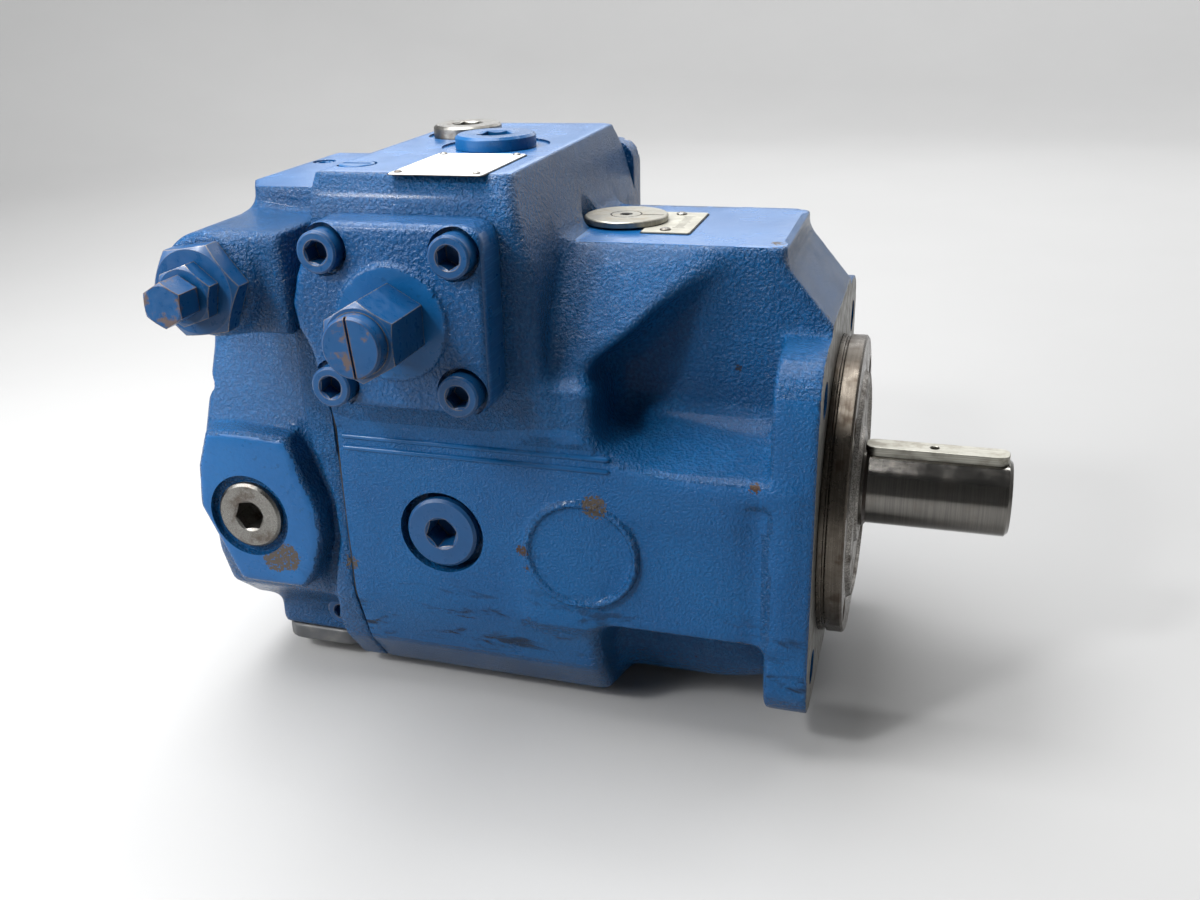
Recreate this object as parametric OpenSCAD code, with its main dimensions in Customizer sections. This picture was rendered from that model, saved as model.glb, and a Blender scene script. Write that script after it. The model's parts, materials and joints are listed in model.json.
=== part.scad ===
// Variable axial piston pump of swash-plate design, for a square four-bolt flange.
// X runs out along the drive shaft from the flange's mounting face, Z is up, and the near side faces -Y.

/* [Flange] */
// Side of the square mounting flange
flange_w = 150; // [148:1:154]
// Thickness of the mounting flange
flange_t = 17; // [15:0.5:19]
// Corner radius of the mounting flange
flange_corner_r = 21; // [18:1:22]
// Bolt circle of the mounting flange
bolt_circle_d = 160; // [158:1:162]
// Hole for each flange bolt
bolt_hole_d = 14; // [11:0.5:14]
// Diameter of the pilot
pilot_d = 125; // [123:0.5:127]
// Height of the pilot
pilot_h = 10; // [9.5:0.5:11]

/* [Shaft] */
// Diameter of the shaft end
shaft_d = 32; // [30:0.5:33]
// Shaft end, measured from the flange face
shaft_len = 70; // [69.5:0.5:80]
// Key width
key_w = 10; // [8:0.5:11]
// Key height
key_h = 8; // [7:0.5:9]
// Key length, over its round ends
key_len = 56; // [40:1:56]

/* [Rotating group] */
// Number of pistons
piston_count = 9; // [7:2:9]
// Piston diameter
piston_d = 17.5; // [16:0.25:17.5]
// Radius of the circle through the piston axes
pitch_r = 34.75; // [34.5:0.25:35]
// Radius of the cylinder block
block_r = 47; // [46.5:0.5:48]
// Running clearance on the radius of each fit
fit = 0.05; // [0.02:0.01:0.08]

/* [Swash plate] */
// Distance from the flange face back to the swivel axis
swivel_back = 89; // [89:1:89]
// Length of the arm that the stroking piston moves
arm_len = 63; // [62:0.5:64]

/* [Housing] */
// Distance from the flange face back to the joint with the port plate
joint_back = 192; // [192:1:192]
// Thickness of the port plate
port_len = 70; // [68:1:72]
// Width of the tower above the swash plate
tower_w = 76; // [74:1:78]
// Height of the tower's machined top above the shaft axis
tower_top = 108; // [107:0.5:109]
// Height of the control block's top above the shaft axis
block_top = 139; // [138:0.5:140]
// Length of the control block across the pump
block_w = 158; // [156:1:160]

/* [Hidden] */
$fn = 64;
EPS = 0.01;
SOCKET_FN = 6;

// Places along the shaft
swivel_x = -swivel_back;
joint_x = -joint_back;
gasket_t = 0.8;
port_x = joint_x - gasket_t;
rear_x = joint_x - port_len;

// Stroking cylinder in the control block
stroke_x = swivel_x - arm_len;
stroke_z = 89.5;
stroke_r = 20;
block_y = block_w / 2;
cover_side = 71;
cover_t = 17.5;
cover_z = 90;
cover_x = stroke_x + 1;
cover_screw_pitch = 51.5;
pad_r = 22;
limiter_r = 11.25;
limiter_nut_af = 26;
far_cover = [84, 78];
far_cover_x = -148;
far_cover_z = 91;
far_cover_t = 16;
far_screw_pitch = [64, 58];

// Pressure controller beside the control block
control_x = -226;
control_z = 100.5;
control_top = 130.5;
control_low = 78;
control_near = -58;
control_far = 30;
control_left = -236;
boss_near = -101;
boss_r = 20.5;
spool_r = 5;
spring_chamber_r = 12;
control_screw_places = [[-34, 86], [-34, 122], [20, 86], [20, 122]];

// Rotating group and bearings
journal_r = 17.5;
block_shaft_r = 15;
rear_journal_r = 12.5;
block_front = -108;
block_rear = joint_x + 5;
ball_r = 5.5;
retaining_ball_r = 20;
slipper_r = 9.2;
slipper_neck_r = 7;
slipper_face = swivel_x + 9;
plate_r = 46.5;
cradle_r = 42;
cradle_roller_r = 1.95;
cradle_roller_pitch = cradle_r + 0.07 + cradle_roller_r;
cradle_shell_r = cradle_r + 2 * cradle_roller_r + 0.15;
segment_low = 20;
segment_high = 36;
spindle_r = 5;

// Ports in the port plate
plug_x = -237;
plug_z = -7;
port_face_y = 79;
suction_x = -227;
suction_z = -78;
kidney_w = 8;
sae_pressure = [23.8, 50.8];
sae_suction = [35.7, 69.9];

// Screw sizes as [shank radius, head radius, head height, socket width across flats]
M12 = [6, 9, 12, 10];
M10 = [5, 8, 10, 8];
M6 = [3, 5, 6, 5];

// ---- Helpers ----
module xcyl(r, x0, x1) {
    translate([x0, 0, 0]) rotate([0, 90, 0]) cylinder(r = r, h = x1 - x0);
}

module xcone(r0, r1, x0, x1) {
    translate([x0, 0, 0]) rotate([0, 90, 0]) cylinder(r1 = r0, r2 = r1, h = x1 - x0);
}

module ycyl(r, y0, y1, x = 0, z = 0) {
    translate([x, y1, z]) rotate([90, 0, 0]) cylinder(r = r, h = y1 - y0);
}

module zcyl(r, z0, z1, x = 0, y = 0) {
    translate([x, y, z0]) cylinder(r = r, h = z1 - z0);
}

module xring(r_in, r_out, x0, x1) {
    difference() {
        xcyl(r_out, x0, x1);
        xcyl(r_in, x0 - 1, x1 + 1);
    }
}

// Extrudes a shape drawn in Y and Z along X
module along_x(x0, x1) {
    translate([x0, 0, 0]) rotate([90, 0, 90]) linear_extrude(x1 - x0) children();
}

// Extrudes a shape drawn in X and Z along Y
module along_y(y0, y1) {
    translate([0, y1, 0]) rotate([90, 0, 0]) linear_extrude(y1 - y0) children();
}

module block_at(lo, hi) {
    translate(lo) cube(hi - lo);
}

module rounded_square(size, r) {
    square([size.x - 2 * r, size.y], center = true);
    square([size.x, size.y - 2 * r], center = true);
    for (sx = [-1, 1], sy = [-1, 1])
        translate([sx * (size.x / 2 - r), sy * (size.y / 2 - r)]) circle(r);
}

// Right half of an outline mirrored to both sides
function both_sides(half) = concat(half, [for (i = [len(half) - 1 : -1 : 0]) [-half[i].x, half[i].y]]);

module hex_prism(af, h) {
    cylinder(r = af / sqrt(3), h = h, $fn = SOCKET_FN);
}

module around_x(count, r, start = 0) {
    for (i = [0 : count - 1])
        rotate([start + 360 * i / count, 0, 0]) translate([0, 0, r]) children();
}

// Socket-head screw along +Z: its head stands on z = 0 and its shank hangs below
module socket_screw(size, shank) {
    difference() {
        union() {
            cylinder(r = size[1], h = size[2] - 0.6);
            translate([0, 0, size[2] - 0.6]) cylinder(r1 = size[1], r2 = size[1] - 0.6, h = 0.6);
            translate([0, 0, -shank]) cylinder(r = size[0], h = shank);
        }
        translate([0, 0, size[2] * 0.45]) hex_prism(size[3], size[2]);
    }
}

// Hexagon-socket screw plug along +Z: collar on z = 0, threaded stem below
module screw_plug(collar_r, collar_h, stem_r, stem_len, af) {
    difference() {
        union() {
            cylinder(r = collar_r, h = collar_h - 1);
            translate([0, 0, collar_h - 1]) cylinder(r1 = collar_r, r2 = collar_r - 1, h = 1);
            translate([0, 0, -stem_len]) cylinder(r = stem_r, h = stem_len);
        }
        translate([0, 0, collar_h - af * 0.55]) hex_prism(af, af);
    }
}

// Round wire wound into a compression spring along +Z
function ring_point(a, r, wire, b) = [(r + wire * cos(b)) * cos(a), (r + wire * cos(b)) * sin(a), wire * sin(b)];

module coil_spring(r, wire, turns, length) {
    sides = 8;
    steps = 14;
    rings = floor(turns * steps);
    rise = (length - 2 * wire) / rings;
    points = [
        for (i = [0 : rings], j = [0 : sides - 1])
            ring_point(360 * i / steps, r, wire, 360 * j / sides) + [0, 0, wire + rise * i]
    ];
    walls = [
        for (i = [0 : rings - 1], j = [0 : sides - 1])
            [i * sides + j, (i + 1) * sides + j, (i + 1) * sides + (j + 1) % sides, i * sides + (j + 1) % sides]
    ];
    caps = [[for (j = [0 : sides - 1]) j], [for (j = [sides - 1 : -1 : 0]) rings * sides + j]];
    polyhedron(points, concat(walls, caps), convexity = 10);
}

// ---- Housing ----
rear_section = both_sides([[0, -93], [30, -93], [52, -86], [67, -64], [74.5, -12], [76, 30], [78, 48], [78, 60]]);
front_section = both_sides([
    [0, -80], [20, -80], [42, -76], [58, -60], [75, -40], [75, 28], [56, 39], [45, 50], [38, 64]
]);
front_start = -78;
shoulder = [-104, 64, 72];
slope_start = -22.5;
slope_foot = 78;
block_profile = [
    [joint_x, 45], [joint_x, block_top], [-112.5, block_top], [-104, tower_top], [-101, 60], [-101, 45]
];
tower_profile = [
    [-112, 40], [-112, tower_top], [slope_start, tower_top], [0, slope_foot], [0, 40]
];
emblem_x = -89.2;
emblem_z = -8.4;
emblem_r = 23.3;
side_plug_x = -148.5;
side_plug_z = -6;
side_face = 74.2;

module housing_outside() {
    along_x(-flange_t, 0) rounded_square([flange_w, flange_w], flange_corner_r);
    along_x(joint_x, front_start) polygon(rear_section);
    along_x(front_start, -flange_t / 2) polygon(front_section);
    along_y(-block_y, block_y) polygon(block_profile);
    along_y(-tower_w / 2, tower_w / 2) polygon(tower_profile);
    block_at([shoulder.x, -shoulder.y, 20], [front_start, shoulder.y, shoulder.z]);
    difference() {
        ycyl(emblem_r, -side_face - 2, -side_face + 3, emblem_x, emblem_z);
        ycyl(emblem_r - 2.6, -side_face - 3, -side_face + 4, emblem_x, emblem_z);
    }
}

module housing_chambers() {
    xcyl(57, joint_x - 1, -98);
    xcyl(52, -98 - EPS, -60);
    block_at([-96, -44, -38], [-40, 44, 38]);
    block_at([stroke_x - 13, -34, 40], [-62, 16, 62]);
    block_at([stroke_x - 9, -27, 50], [stroke_x + 9, 10, 84]);
    xcyl(30, -41, -35);
    xcyl(36, -36, -14);
    xcyl(52, -14 - EPS, 1);
    xcyl(pilot_d / 2 + fit, -2, 1);
    ycyl(stroke_r + fit, -block_y - 1, block_y + 1, stroke_x, stroke_z);
    zcyl(8, 55, tower_top - 5, swivel_x);
    zcyl(spindle_r + fit, tower_top - 6, tower_top + 1, swivel_x);
    zcyl(18.6, tower_top, tower_top + 18, swivel_x);
}

module housing_fixings() {
    rotate([45, 0, 0]) around_x(4, bolt_circle_d / 2)
        rotate([0, 90, 0]) cylinder(r = bolt_hole_d / 2, h = 2 * flange_t + 2, center = true);
    around_x(4, 55, 45) xcyl(2.6, -12, 1);
    for (p = cover_screws_near()) ycyl(M10[0] + 0.2, -block_y - 1, -block_y + 18, p.x, p.y);
    for (p = cover_screws_far()) ycyl(M10[0] + 0.2, block_y - 18, block_y + 1, p.x, p.y);
    for (p = control_screw_places) translate([0, p.x, p.y]) xcyl(M6[0] + 0.2, joint_x - 1, joint_x + 16);
    for (p = port_screw_places) translate([0, p.x, p.y]) xcyl(M12[0] + 0.2, joint_x - 1, joint_x + 26);
}

module housing_plug_seats() {
    zcyl(22.8, block_top - 0.8, block_top + 2, top_large.x, top_large.y);
    zcyl(13.7, block_top - 18, block_top, top_large.x, top_large.y);
    zcyl(17.6, block_top - 0.8, block_top + 2, top_small.x, top_small.y);
    zcyl(11.2, block_top - 16, block_top, top_small.x, top_small.y);
    zcyl(slotted_r, block_top - 9, block_top + 2, slotted.x, slotted.y);
    ycyl(18, -side_face - 4, -side_face + 2.2, side_plug_x, side_plug_z);
    ycyl(11.2, -side_face - 4, -side_face + 14, side_plug_x, side_plug_z);
}

top_large = [-145, 0];
top_small = [-170, 31];
slotted = [-183.2, -52.6];
slotted_r = 7.2;
port_screw_places = [[-52.5, 41], [52.5, 41], [-44, -48], [44, -48]];

function cover_screws_near() = [
    for (sx = [-1, 1], sz = [-1, 1])
        [stroke_x + sx * cover_screw_pitch / 2, stroke_z + sz * cover_screw_pitch / 2]
];
function cover_screws_far() = [
    for (sx = [-1, 1], sz = [-1, 1])
        [far_cover_x + sx * far_screw_pitch.x / 2, far_cover_z + sz * far_screw_pitch.y / 2]
];

module pump_housing() {
    color("royalblue") difference() {
        housing_outside();
        housing_chambers();
        housing_fixings();
        housing_plug_seats();
    }
}

// ---- Drive end ----
module pilot_cover() {
    color("silver") difference() {
        union() {
            xcyl(52 - fit, -12, 0);
            xcyl(pilot_d / 2 - 4.5, -2, 0);
            xcyl(pilot_d / 2, 0, 2);
            xcyl(pilot_d / 2 - 1, 2, 3.2);
            xcyl(pilot_d / 2, 3.2, pilot_h - 1);
            xcone(pilot_d / 2, pilot_d / 2 - 1, pilot_h - 1, pilot_h);
        }
        xcyl(41, -13, 3);
        xcyl(48.2, 2, pilot_h + 1);
        around_x(4, 55, 45) {
            xcyl(2.8, -13, pilot_h + 1);
            xcone(2.8, 5.4, pilot_h - 3, pilot_h + 0.01);
        }
    }
}

module pilot_cover_screws() {
    color("dimgray") around_x(4, 55, 45) difference() {
        union() {
            xcyl(2.5, -11, pilot_h - 3);
            xcone(2.5, 5, pilot_h - 3, pilot_h - 0.3);
        }
        translate([pilot_h - 2.2, 0, 0]) rotate([0, 90, 0]) hex_prism(3, 3);
    }
}

module seal_carrier() {
    color("gray") difference() {
        union() {
            xcyl(48, 2, pilot_h + 1);
            xcone(48, 47, pilot_h + 1, pilot_h + 2);
            xcyl(41 - fit, -14, 2);
        }
        xcyl(20, -15, pilot_h + 3);
        xcyl(27.5, -15, 4);
        xring(38.6, 42, -6, -3);
    }
}

module seal_carrier_o_ring() {
    color("black") translate([-4.5, 0, 0]) rotate([0, 90, 0])
        rotate_extrude() translate([39.85, 0]) circle(1.1, $fn = 16);
}

module shaft_seal() {
    color("black") difference() {
        union() {
            xring(journal_r + fit, 27.45, -4.8, -3);
            xring(24, 27.45, -3, 3.8);
            xring(journal_r + fit, 20, -3, 1.5);
        }
    }
}

module drive_shaft() {
    color("gainsboro") difference() {
        union() {
            xcyl(rear_journal_r, -218, joint_x - 0.5);
            xcyl(block_shaft_r, joint_x - 0.5, -84);
            xcyl(16, -84, -41);
            xcyl(19.5, -41, -37.2);
            xcyl(journal_r, -37.2, 13.6);
            xcyl(shaft_d / 2, 13.6, shaft_len - 1.5);
            xcone(shaft_d / 2, shaft_d / 2 - 1.5, shaft_len - 1.5, shaft_len);
        }
        key_shape(key_seat_z, shaft_d);
        xcyl(4.25, shaft_len - 22, shaft_len + 1);
        xcone(4.25, 6.5, shaft_len - 2.2, shaft_len + 0.01);
    }
}

key_x = 12.5;
key_seat_z = shaft_d / 2 - 5;

module key_shape(z0, h) {
    r = key_w / 2;
    x_near = key_x + r;
    x_far = key_x + key_len - r;
    zcyl(r, z0, z0 + h, x_near);
    zcyl(r, z0, z0 + h, x_far);
    block_at([x_near, -r, z0], [x_far, r, z0 + h]);
}

module shaft_key() {
    color("darkgray") difference() {
        key_shape(key_seat_z, key_h);
        zcyl(1.7, key_seat_z - 1, key_seat_z + key_h + 1, key_x + 27);
    }
}

module roller_set(count, r, pitch, x0, x1) {
    around_x(count, pitch) xcyl(r, x0, x1);
    difference() {
        xring(pitch - r * 0.28, pitch + r * 0.28, x0 - 1.5, x1 + 1.5);
        around_x(count, pitch) xcyl(r + 0.12, x0 - 0.2, x1 + 0.2);
    }
}

module front_bearing_outer() {
    color("lightsteelblue") xring(31.85, 36, -35.5, -14);
}

module front_bearing_inner() {
    color("lightsteelblue") xring(journal_r, 21.95, -37.2, -15);
}

module front_bearing_rollers() {
    color("lightgray") roller_set(12, 4.85, 26.9, -33, -18);
}

module rear_bearing_outer() {
    color("lightsteelblue") xring(23.45, 26, -215, -197);
}

module rear_bearing_inner() {
    color("lightsteelblue") xring(rear_journal_r, 15.55, -217, -197);
}

module rear_bearing_rollers() {
    color("lightgray") roller_set(12, 3.85, 19.5, -213, -199);
}

// ---- Rotating group ----
module cylinder_block() {
    color("burlywood") difference() {
        xcyl(block_r, block_rear, block_front);
        xcyl(block_shaft_r, block_rear - 1, block_front + 1);
        xcyl(22, -168, -128);
        around_x(piston_count, pitch_r) {
            xcyl(piston_d / 2 + fit, -176, block_front + 1);
            xcyl(4, block_rear - 1, -175);
        }
    }
}

module pistons() {
    color("silver") around_x(piston_count, pitch_r) {
        difference() {
            xcyl(piston_d / 2, -166, -102);
            xcyl(5.5, -167, -115);
        }
        xcyl(3.8, -102 - EPS, swivel_x);
        translate([swivel_x, 0, 0]) sphere(ball_r);
    }
}

module slippers() {
    color("peru") around_x(piston_count, pitch_r) difference() {
        union() {
            xcyl(slipper_neck_r, swivel_x - 3, slipper_face - 3.4);
            xcyl(slipper_r, slipper_face - 3.5, slipper_face - fit);
        }
        translate([swivel_x, 0, 0]) sphere(ball_r + fit);
        xcyl(1, swivel_x, slipper_face + 1);
        xcyl(5, slipper_face - 0.8, slipper_face + 1);
    }
}

module retainer_plate() {
    color("slategray") difference() {
        xcyl(45.5, slipper_face - 6.6, slipper_face - 3.6);
        around_x(piston_count, pitch_r) xcyl(slipper_neck_r + 0.4, -100, -70);
        translate([swivel_x, 0, 0]) sphere(retaining_ball_r + 0.1);
    }
}

module retaining_ball() {
    color("silver") difference() {
        intersection() {
            translate([swivel_x, 0, 0]) sphere(retaining_ball_r);
            xcyl(30, -100, -82.5);
        }
        xcyl(block_shaft_r, -110, -70);
        xcyl(16.1, -84.2, -70);
    }
}

module block_spring() {
    color("dimgray") translate([-166, 0, 0]) rotate([0, 90, 0]) coil_spring(18.6, 1.7, 5, 36);
}

// Arc-shaped port seen along X, centred on the angle a (0 is up)
module kidney(a, half, x0, x1, w = kidney_w) {
    translate([x0, 0, 0]) rotate([0, 90, 0]) rotate([0, 0, 180 + a - half])
        rotate_extrude(angle = 2 * half) translate([pitch_r - w / 2, 0]) square([w, x1 - x0]);
}

module valve_plate() {
    color("goldenrod") difference() {
        xcyl(block_r, joint_x, block_rear - fit);
        xcyl(16, joint_x - 1, block_rear + 1);
        kidney(0, 62, joint_x - 1, block_rear + 1);
        kidney(180, 62, joint_x - 1, block_rear + 1);
        translate([0, 42, 0]) xcyl(1.5, joint_x - 1, joint_x + 3);
    }
}

module valve_plate_pin() {
    color("silver") translate([0, 42, 0]) xcyl(1.5, joint_x - 5, joint_x + 2.8);
}

// ---- Swash plate ----
module about_swivel(count, step) {
    for (i = [0 : count - 1])
        translate([swivel_x, 0, 0]) rotate([0, 0, (i - (count - 1) / 2) * step]) children();
}

module cradle_segment() {
    intersection() {
        zcyl(cradle_r, segment_low, segment_high, swivel_x);
        block_at([slipper_face + 5, -50, 0], [0, 50, 60]);
    }
}

module swash_cradle() {
    color("darkkhaki") difference() {
        union() {
            xcyl(plate_r, slipper_face, slipper_face + 6);
            cradle_segment();
            mirror([0, 0, 1]) cradle_segment();
            intersection() {
                zcyl(18, 35, 56, swivel_x);
                block_at([slipper_face, -10, 35], [-62, 10, 56]);
            }
            block_at([stroke_x - 8, -6.5, 50.5], [slipper_face + 6, 6.5, 56]);
            zcyl(6, 50.5, stroke_z + 6, stroke_x);
        }
        xcyl(24, -100, -74 + EPS);
        block_at([-75, -30, -19], [-30, 30, 19]);
        zcyl(3, 50, 60, swivel_x);
    }
}

module cradle_rollers() {
    color("lightgray") for (side = [0, 1]) mirror([0, 0, side]) {
        about_swivel(9, 9.5) zcyl(cradle_roller_r, segment_low + 1, segment_high - 1, cradle_roller_pitch);
        difference() {
            translate([swivel_x, 0, segment_low + 0.4]) rotate([0, 0, -41.5]) rotate_extrude(angle = 83)
                translate([cradle_roller_pitch - 0.5, 0]) square([1, segment_high - segment_low - 0.8]);
            about_swivel(9, 9.5)
                zcyl(cradle_roller_r + 0.1, segment_low + 0.9, segment_high - 0.9, cradle_roller_pitch);
        }
    }
}

module cradle_shells() {
    color("lightsteelblue") for (side = [0, 1]) mirror([0, 0, side]) difference() {
        block_at([-61.5, -43.5, segment_low], [-40, 43.5, segment_high]);
        zcyl(cradle_shell_r, segment_low - 1, segment_high + 1, swivel_x);
    }
}

module indicator_spindle() {
    color("silver") {
        zcyl(3, 50.5, 62, swivel_x);
        zcyl(spindle_r, 62, tower_top + 0.8, swivel_x);
    }
}

module spindle_bush() {
    color("goldenrod") difference() {
        zcyl(8, 64, tower_top - 5, swivel_x);
        zcyl(spindle_r + fit, 63, tower_top, swivel_x);
    }
}

disc_r = 17.3;
disc_low = tower_top + 0.8;
disc_top = tower_top + 3.4;

module indicator_disc() {
    color("wheat") difference() {
        union() {
            zcyl(disc_r, disc_low, disc_top - 0.4, swivel_x);
            translate([swivel_x, 0, disc_top - 0.4]) cylinder(r1 = disc_r, r2 = disc_r - 0.4, h = 0.4);
        }
        zcyl(2.6, disc_low - 1, disc_top + 1, swivel_x);
        block_at([swivel_x + 6.4, -0.35, disc_top - 0.35], [swivel_x + 16, 0.35, disc_top + 1]);
        difference() {
            zcyl(6.6, disc_top - 0.3, disc_top + 1, swivel_x);
            zcyl(6.1, disc_top - 1, disc_top + 1, swivel_x);
        }
    }
}

module indicator_screw() {
    color("dimgray") difference() {
        zcyl(2.55, disc_low, disc_top - 0.2, swivel_x);
        translate([swivel_x, 0, disc_top - 1.6]) hex_prism(3, 3);
    }
}

scale_lo = [-78, -20];
scale_hi = [-58.6, 20];
scale_pin_y = [15.5, -15.5];
scale_pin_x = -69;

module scale_plate() {
    color("wheat") difference() {
        block_at([scale_lo.x, scale_lo.y, tower_top], [scale_hi.x, scale_hi.y, tower_top + 0.6]);
        for (y = scale_pin_y) zcyl(1, tower_top - 1, tower_top + 2, scale_pin_x, y);
    }
}

module scale_plate_pins() {
    color("silver") for (y = scale_pin_y) translate([scale_pin_x, y, tower_top]) {
        cylinder(r = 1, h = 0.6);
        translate([0, 0, 0.6]) cylinder(r1 = 2.2, r2 = 1.2, h = 0.9);
    }
}

// ---- Stroking cylinder ----
module stroking_piston() {
    color("silver") difference() {
        ycyl(stroke_r, -46, 58, stroke_x, stroke_z);
        ycyl(13, 22, 59, stroke_x, stroke_z);
        block_at([stroke_x - 12, -6.2, stroke_z - 30], [stroke_x + 12, 6.2, stroke_z + 8]);
    }
}

module stroke_spring() {
    color("dimgray") translate([stroke_x, 22.2, stroke_z]) rotate([-90, 0, 0]) coil_spring(10.2, 1.6, 8, 60.6);
}

module cover_body_near() {
    translate([cover_x, 0, cover_z]) along_y(-block_y - cover_t, -block_y)
        rounded_square([cover_side, cover_side], 9);
    along_y(-block_y - cover_t, -block_y) polygon([
        [-185, 112], [-191, 104], [-194, 94], [-192.5, 82], [-184, 72], [-180, 68], [-175, 90]
    ]);
    ycyl(pad_r, -block_y - cover_t - 1.5, -block_y, stroke_x, cover_z - 1);
    ycyl(stroke_r - 0.1, -block_y, -block_y + 7, stroke_x, stroke_z);
}

module stroke_cover_near() {
    color("royalblue") difference() {
        cover_body_near();
        ycyl(limiter_r + fit, -block_y - 30, -block_y + 10, stroke_x, stroke_z);
        for (p = cover_screws_near()) {
            ycyl(9.6, -block_y - 30, -block_y - cover_t + 4.5, p.x, p.y);
            ycyl(M10[0] + 0.2, -block_y - 30, -block_y + 1, p.x, p.y);
        }
    }
}

module near_cover_screws() {
    color("steelblue") for (p = cover_screws_near())
        translate([p.x, -block_y - cover_t + 4.5, p.y]) rotate([90, 0, 0]) socket_screw(M10, 28);
}

module stroke_cover_far() {
    color("royalblue") difference() {
        union() {
            translate([far_cover_x, 0, far_cover_z]) along_y(block_y, block_y + far_cover_t)
                rounded_square(far_cover, 12);
            ycyl(stroke_r - 0.1, block_y - 6, block_y, stroke_x, stroke_z);
        }
        ycyl(13, block_y - 7, block_y + 4, stroke_x, stroke_z);
        for (p = cover_screws_far()) {
            ycyl(9.6, block_y + far_cover_t - 8, block_y + 30, p.x, p.y);
            ycyl(M10[0] + 0.2, block_y - 1, block_y + 30, p.x, p.y);
        }
    }
}

module far_cover_screws() {
    color("steelblue") for (p = cover_screws_far())
        translate([p.x, block_y + far_cover_t - 8, p.y]) rotate([-90, 0, 0]) socket_screw(M10, 24);
}

limiter_near = -130;
limiter_far = -64.5;
nut_near = -124;
nut_far = -block_y - cover_t - 1.5;

module stroke_limiter_screw() {
    color("steelblue") difference() {
        ycyl(limiter_r, limiter_near, limiter_far, stroke_x, stroke_z);
        translate([stroke_x, limiter_near, stroke_z]) rotate([0, -7, 0])
            cube([1.6, 3.2, 3 * limiter_r], center = true);
    }
}

module limiter_lock_nut() {
    color("steelblue") difference() {
        translate([stroke_x, nut_far, stroke_z]) rotate([90, 30, 0]) intersection() {
            hex_prism(limiter_nut_af, nut_far - nut_near);
            translate([0, 0, -1]) cylinder(r1 = 16.5, r2 = 14.2, h = nut_far - nut_near + 1.01);
        }
        ycyl(limiter_r + fit, nut_near - 1, nut_far + 1, stroke_x, stroke_z);
    }
}

// ---- Pressure controller ----
module valve_housing_plan() {
    polygon([
        [joint_x - 0.3, control_near], [-227, control_near], [control_left, control_near + 15],
        [control_left, control_far], [joint_x - 0.3, control_far]
    ]);
}

module control_valve_housing() {
    color("royalblue") difference() {
        union() {
            translate([0, 0, control_low]) linear_extrude(control_top - control_low) valve_housing_plan();
            ycyl(boss_r, boss_near, control_near + 1, control_x, control_z);
            block_at(
                [control_x, boss_near + 6, control_z - boss_r],
                [-196, control_near + 1, control_z + boss_r]
            );
        }
        ycyl(spring_chamber_r, boss_near - 1, -50, control_x, control_z);
        ycyl(spool_r + fit, -50 - EPS, 22, control_x, control_z);
        ycyl(8, 22 - EPS, control_far + 1, control_x, control_z);
        for (p = control_screw_places) translate([0, p.x, p.y]) {
            xcyl(M6[0] + 0.2, control_left - 1, joint_x + 1);
            xcyl(5.5, control_left - 1, control_left + 6.5);
        }
        zcyl(5.1, control_top - 6, control_top + 1, valve_plug.x, valve_plug.y);
    }
}

valve_plug = [-229, 4];

module control_valve_screws() {
    color("steelblue") for (p = control_screw_places)
        translate([control_left + 6.5, p.x, p.y]) rotate([0, -90, 0]) socket_screw(M6, 50);
}

module control_spool() {
    color("silver") difference() {
        ycyl(spool_r, -52, 14, control_x, control_z);
        for (y = [-38, -20, -2]) difference() {
            ycyl(spool_r + 1, y, y + 9, control_x, control_z);
            ycyl(spool_r - 1.8, y - 1, y + 10, control_x, control_z);
        }
    }
    color("silver") ycyl(8, -55, -52 + EPS, control_x, control_z);
}

module control_spring() {
    color("dimgray") translate([control_x, -55.2, control_z]) rotate([90, 0, 0]) coil_spring(6.4, 1.2, 7, 22.1);
}

module control_spring_seat() {
    color("silver") ycyl(8.6, -81, -77.5, control_x, control_z);
}

module control_end_plug() {
    color("steelblue") difference() {
        ycyl(8, 20 + 2, control_far - 0.5, control_x, control_z);
        translate([control_x, control_far - 4, control_z]) rotate([-90, 0, 0]) hex_prism(6, 10);
    }
}

module adjuster_plug() {
    color("steelblue") difference() {
        union() {
            translate([control_x, boss_near, control_z]) rotate([90, 0, 0]) intersection() {
                hex_prism(33, 8.6);
                cylinder(r1 = 20, r2 = 17.4, h = 8.61);
            }
            ycyl(spring_chamber_r, boss_near, boss_near + 14, control_x, control_z);
        }
        ycyl(5 + fit, boss_near - 20, boss_near + 20, control_x, control_z);
    }
}

module adjuster_lock_nut() {
    color("steelblue") difference() {
        translate([control_x, boss_near - 8.6, control_z]) rotate([90, 20, 0]) intersection() {
            hex_prism(21, 6.6);
            cylinder(r1 = 13, r2 = 11, h = 6.61);
        }
        ycyl(5 + fit, boss_near - 20, boss_near, control_x, control_z);
    }
}

module adjusting_screw() {
    color("steelblue") {
        translate([control_x, -117.5, control_z]) rotate([90, 30, 0]) hex_prism(15, 11.5);
        ycyl(5, -117.5 - EPS, -81, control_x, control_z);
    }
}

// ---- Plugs ----
module top_plug_large() {
    color("steelblue") translate([top_large.x, top_large.y, block_top - 0.8]) screw_plug(17, 5.8, 13.5, 15, 14);
}

module top_plug_small() {
    color("silver") translate([top_small.x, top_small.y, block_top - 0.8]) screw_plug(15.2, 5.8, 11, 13, 12);
}

module slotted_plug() {
    color("steelblue") difference() {
        zcyl(slotted_r, block_top - 9, block_top + 0.4, slotted.x, slotted.y);
        block_at([slotted.x - 6, slotted.y - 0.9, block_top - 1.4], [slotted.x + 6, slotted.y + 0.9, block_top + 1]);
    }
}

module valve_body_plug() {
    color("steelblue") difference() {
        zcyl(5, control_top - 5.5, control_top - 0.4, valve_plug.x, valve_plug.y);
        translate([valve_plug.x, valve_plug.y, control_top - 3]) hex_prism(5, 4);
    }
}

module side_plug() {
    color("steelblue") translate([side_plug_x, -side_face + 2.2, side_plug_z]) rotate([90, 0, 0])
        screw_plug(15.2, 3.4, 11, 11, 12);
}

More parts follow.
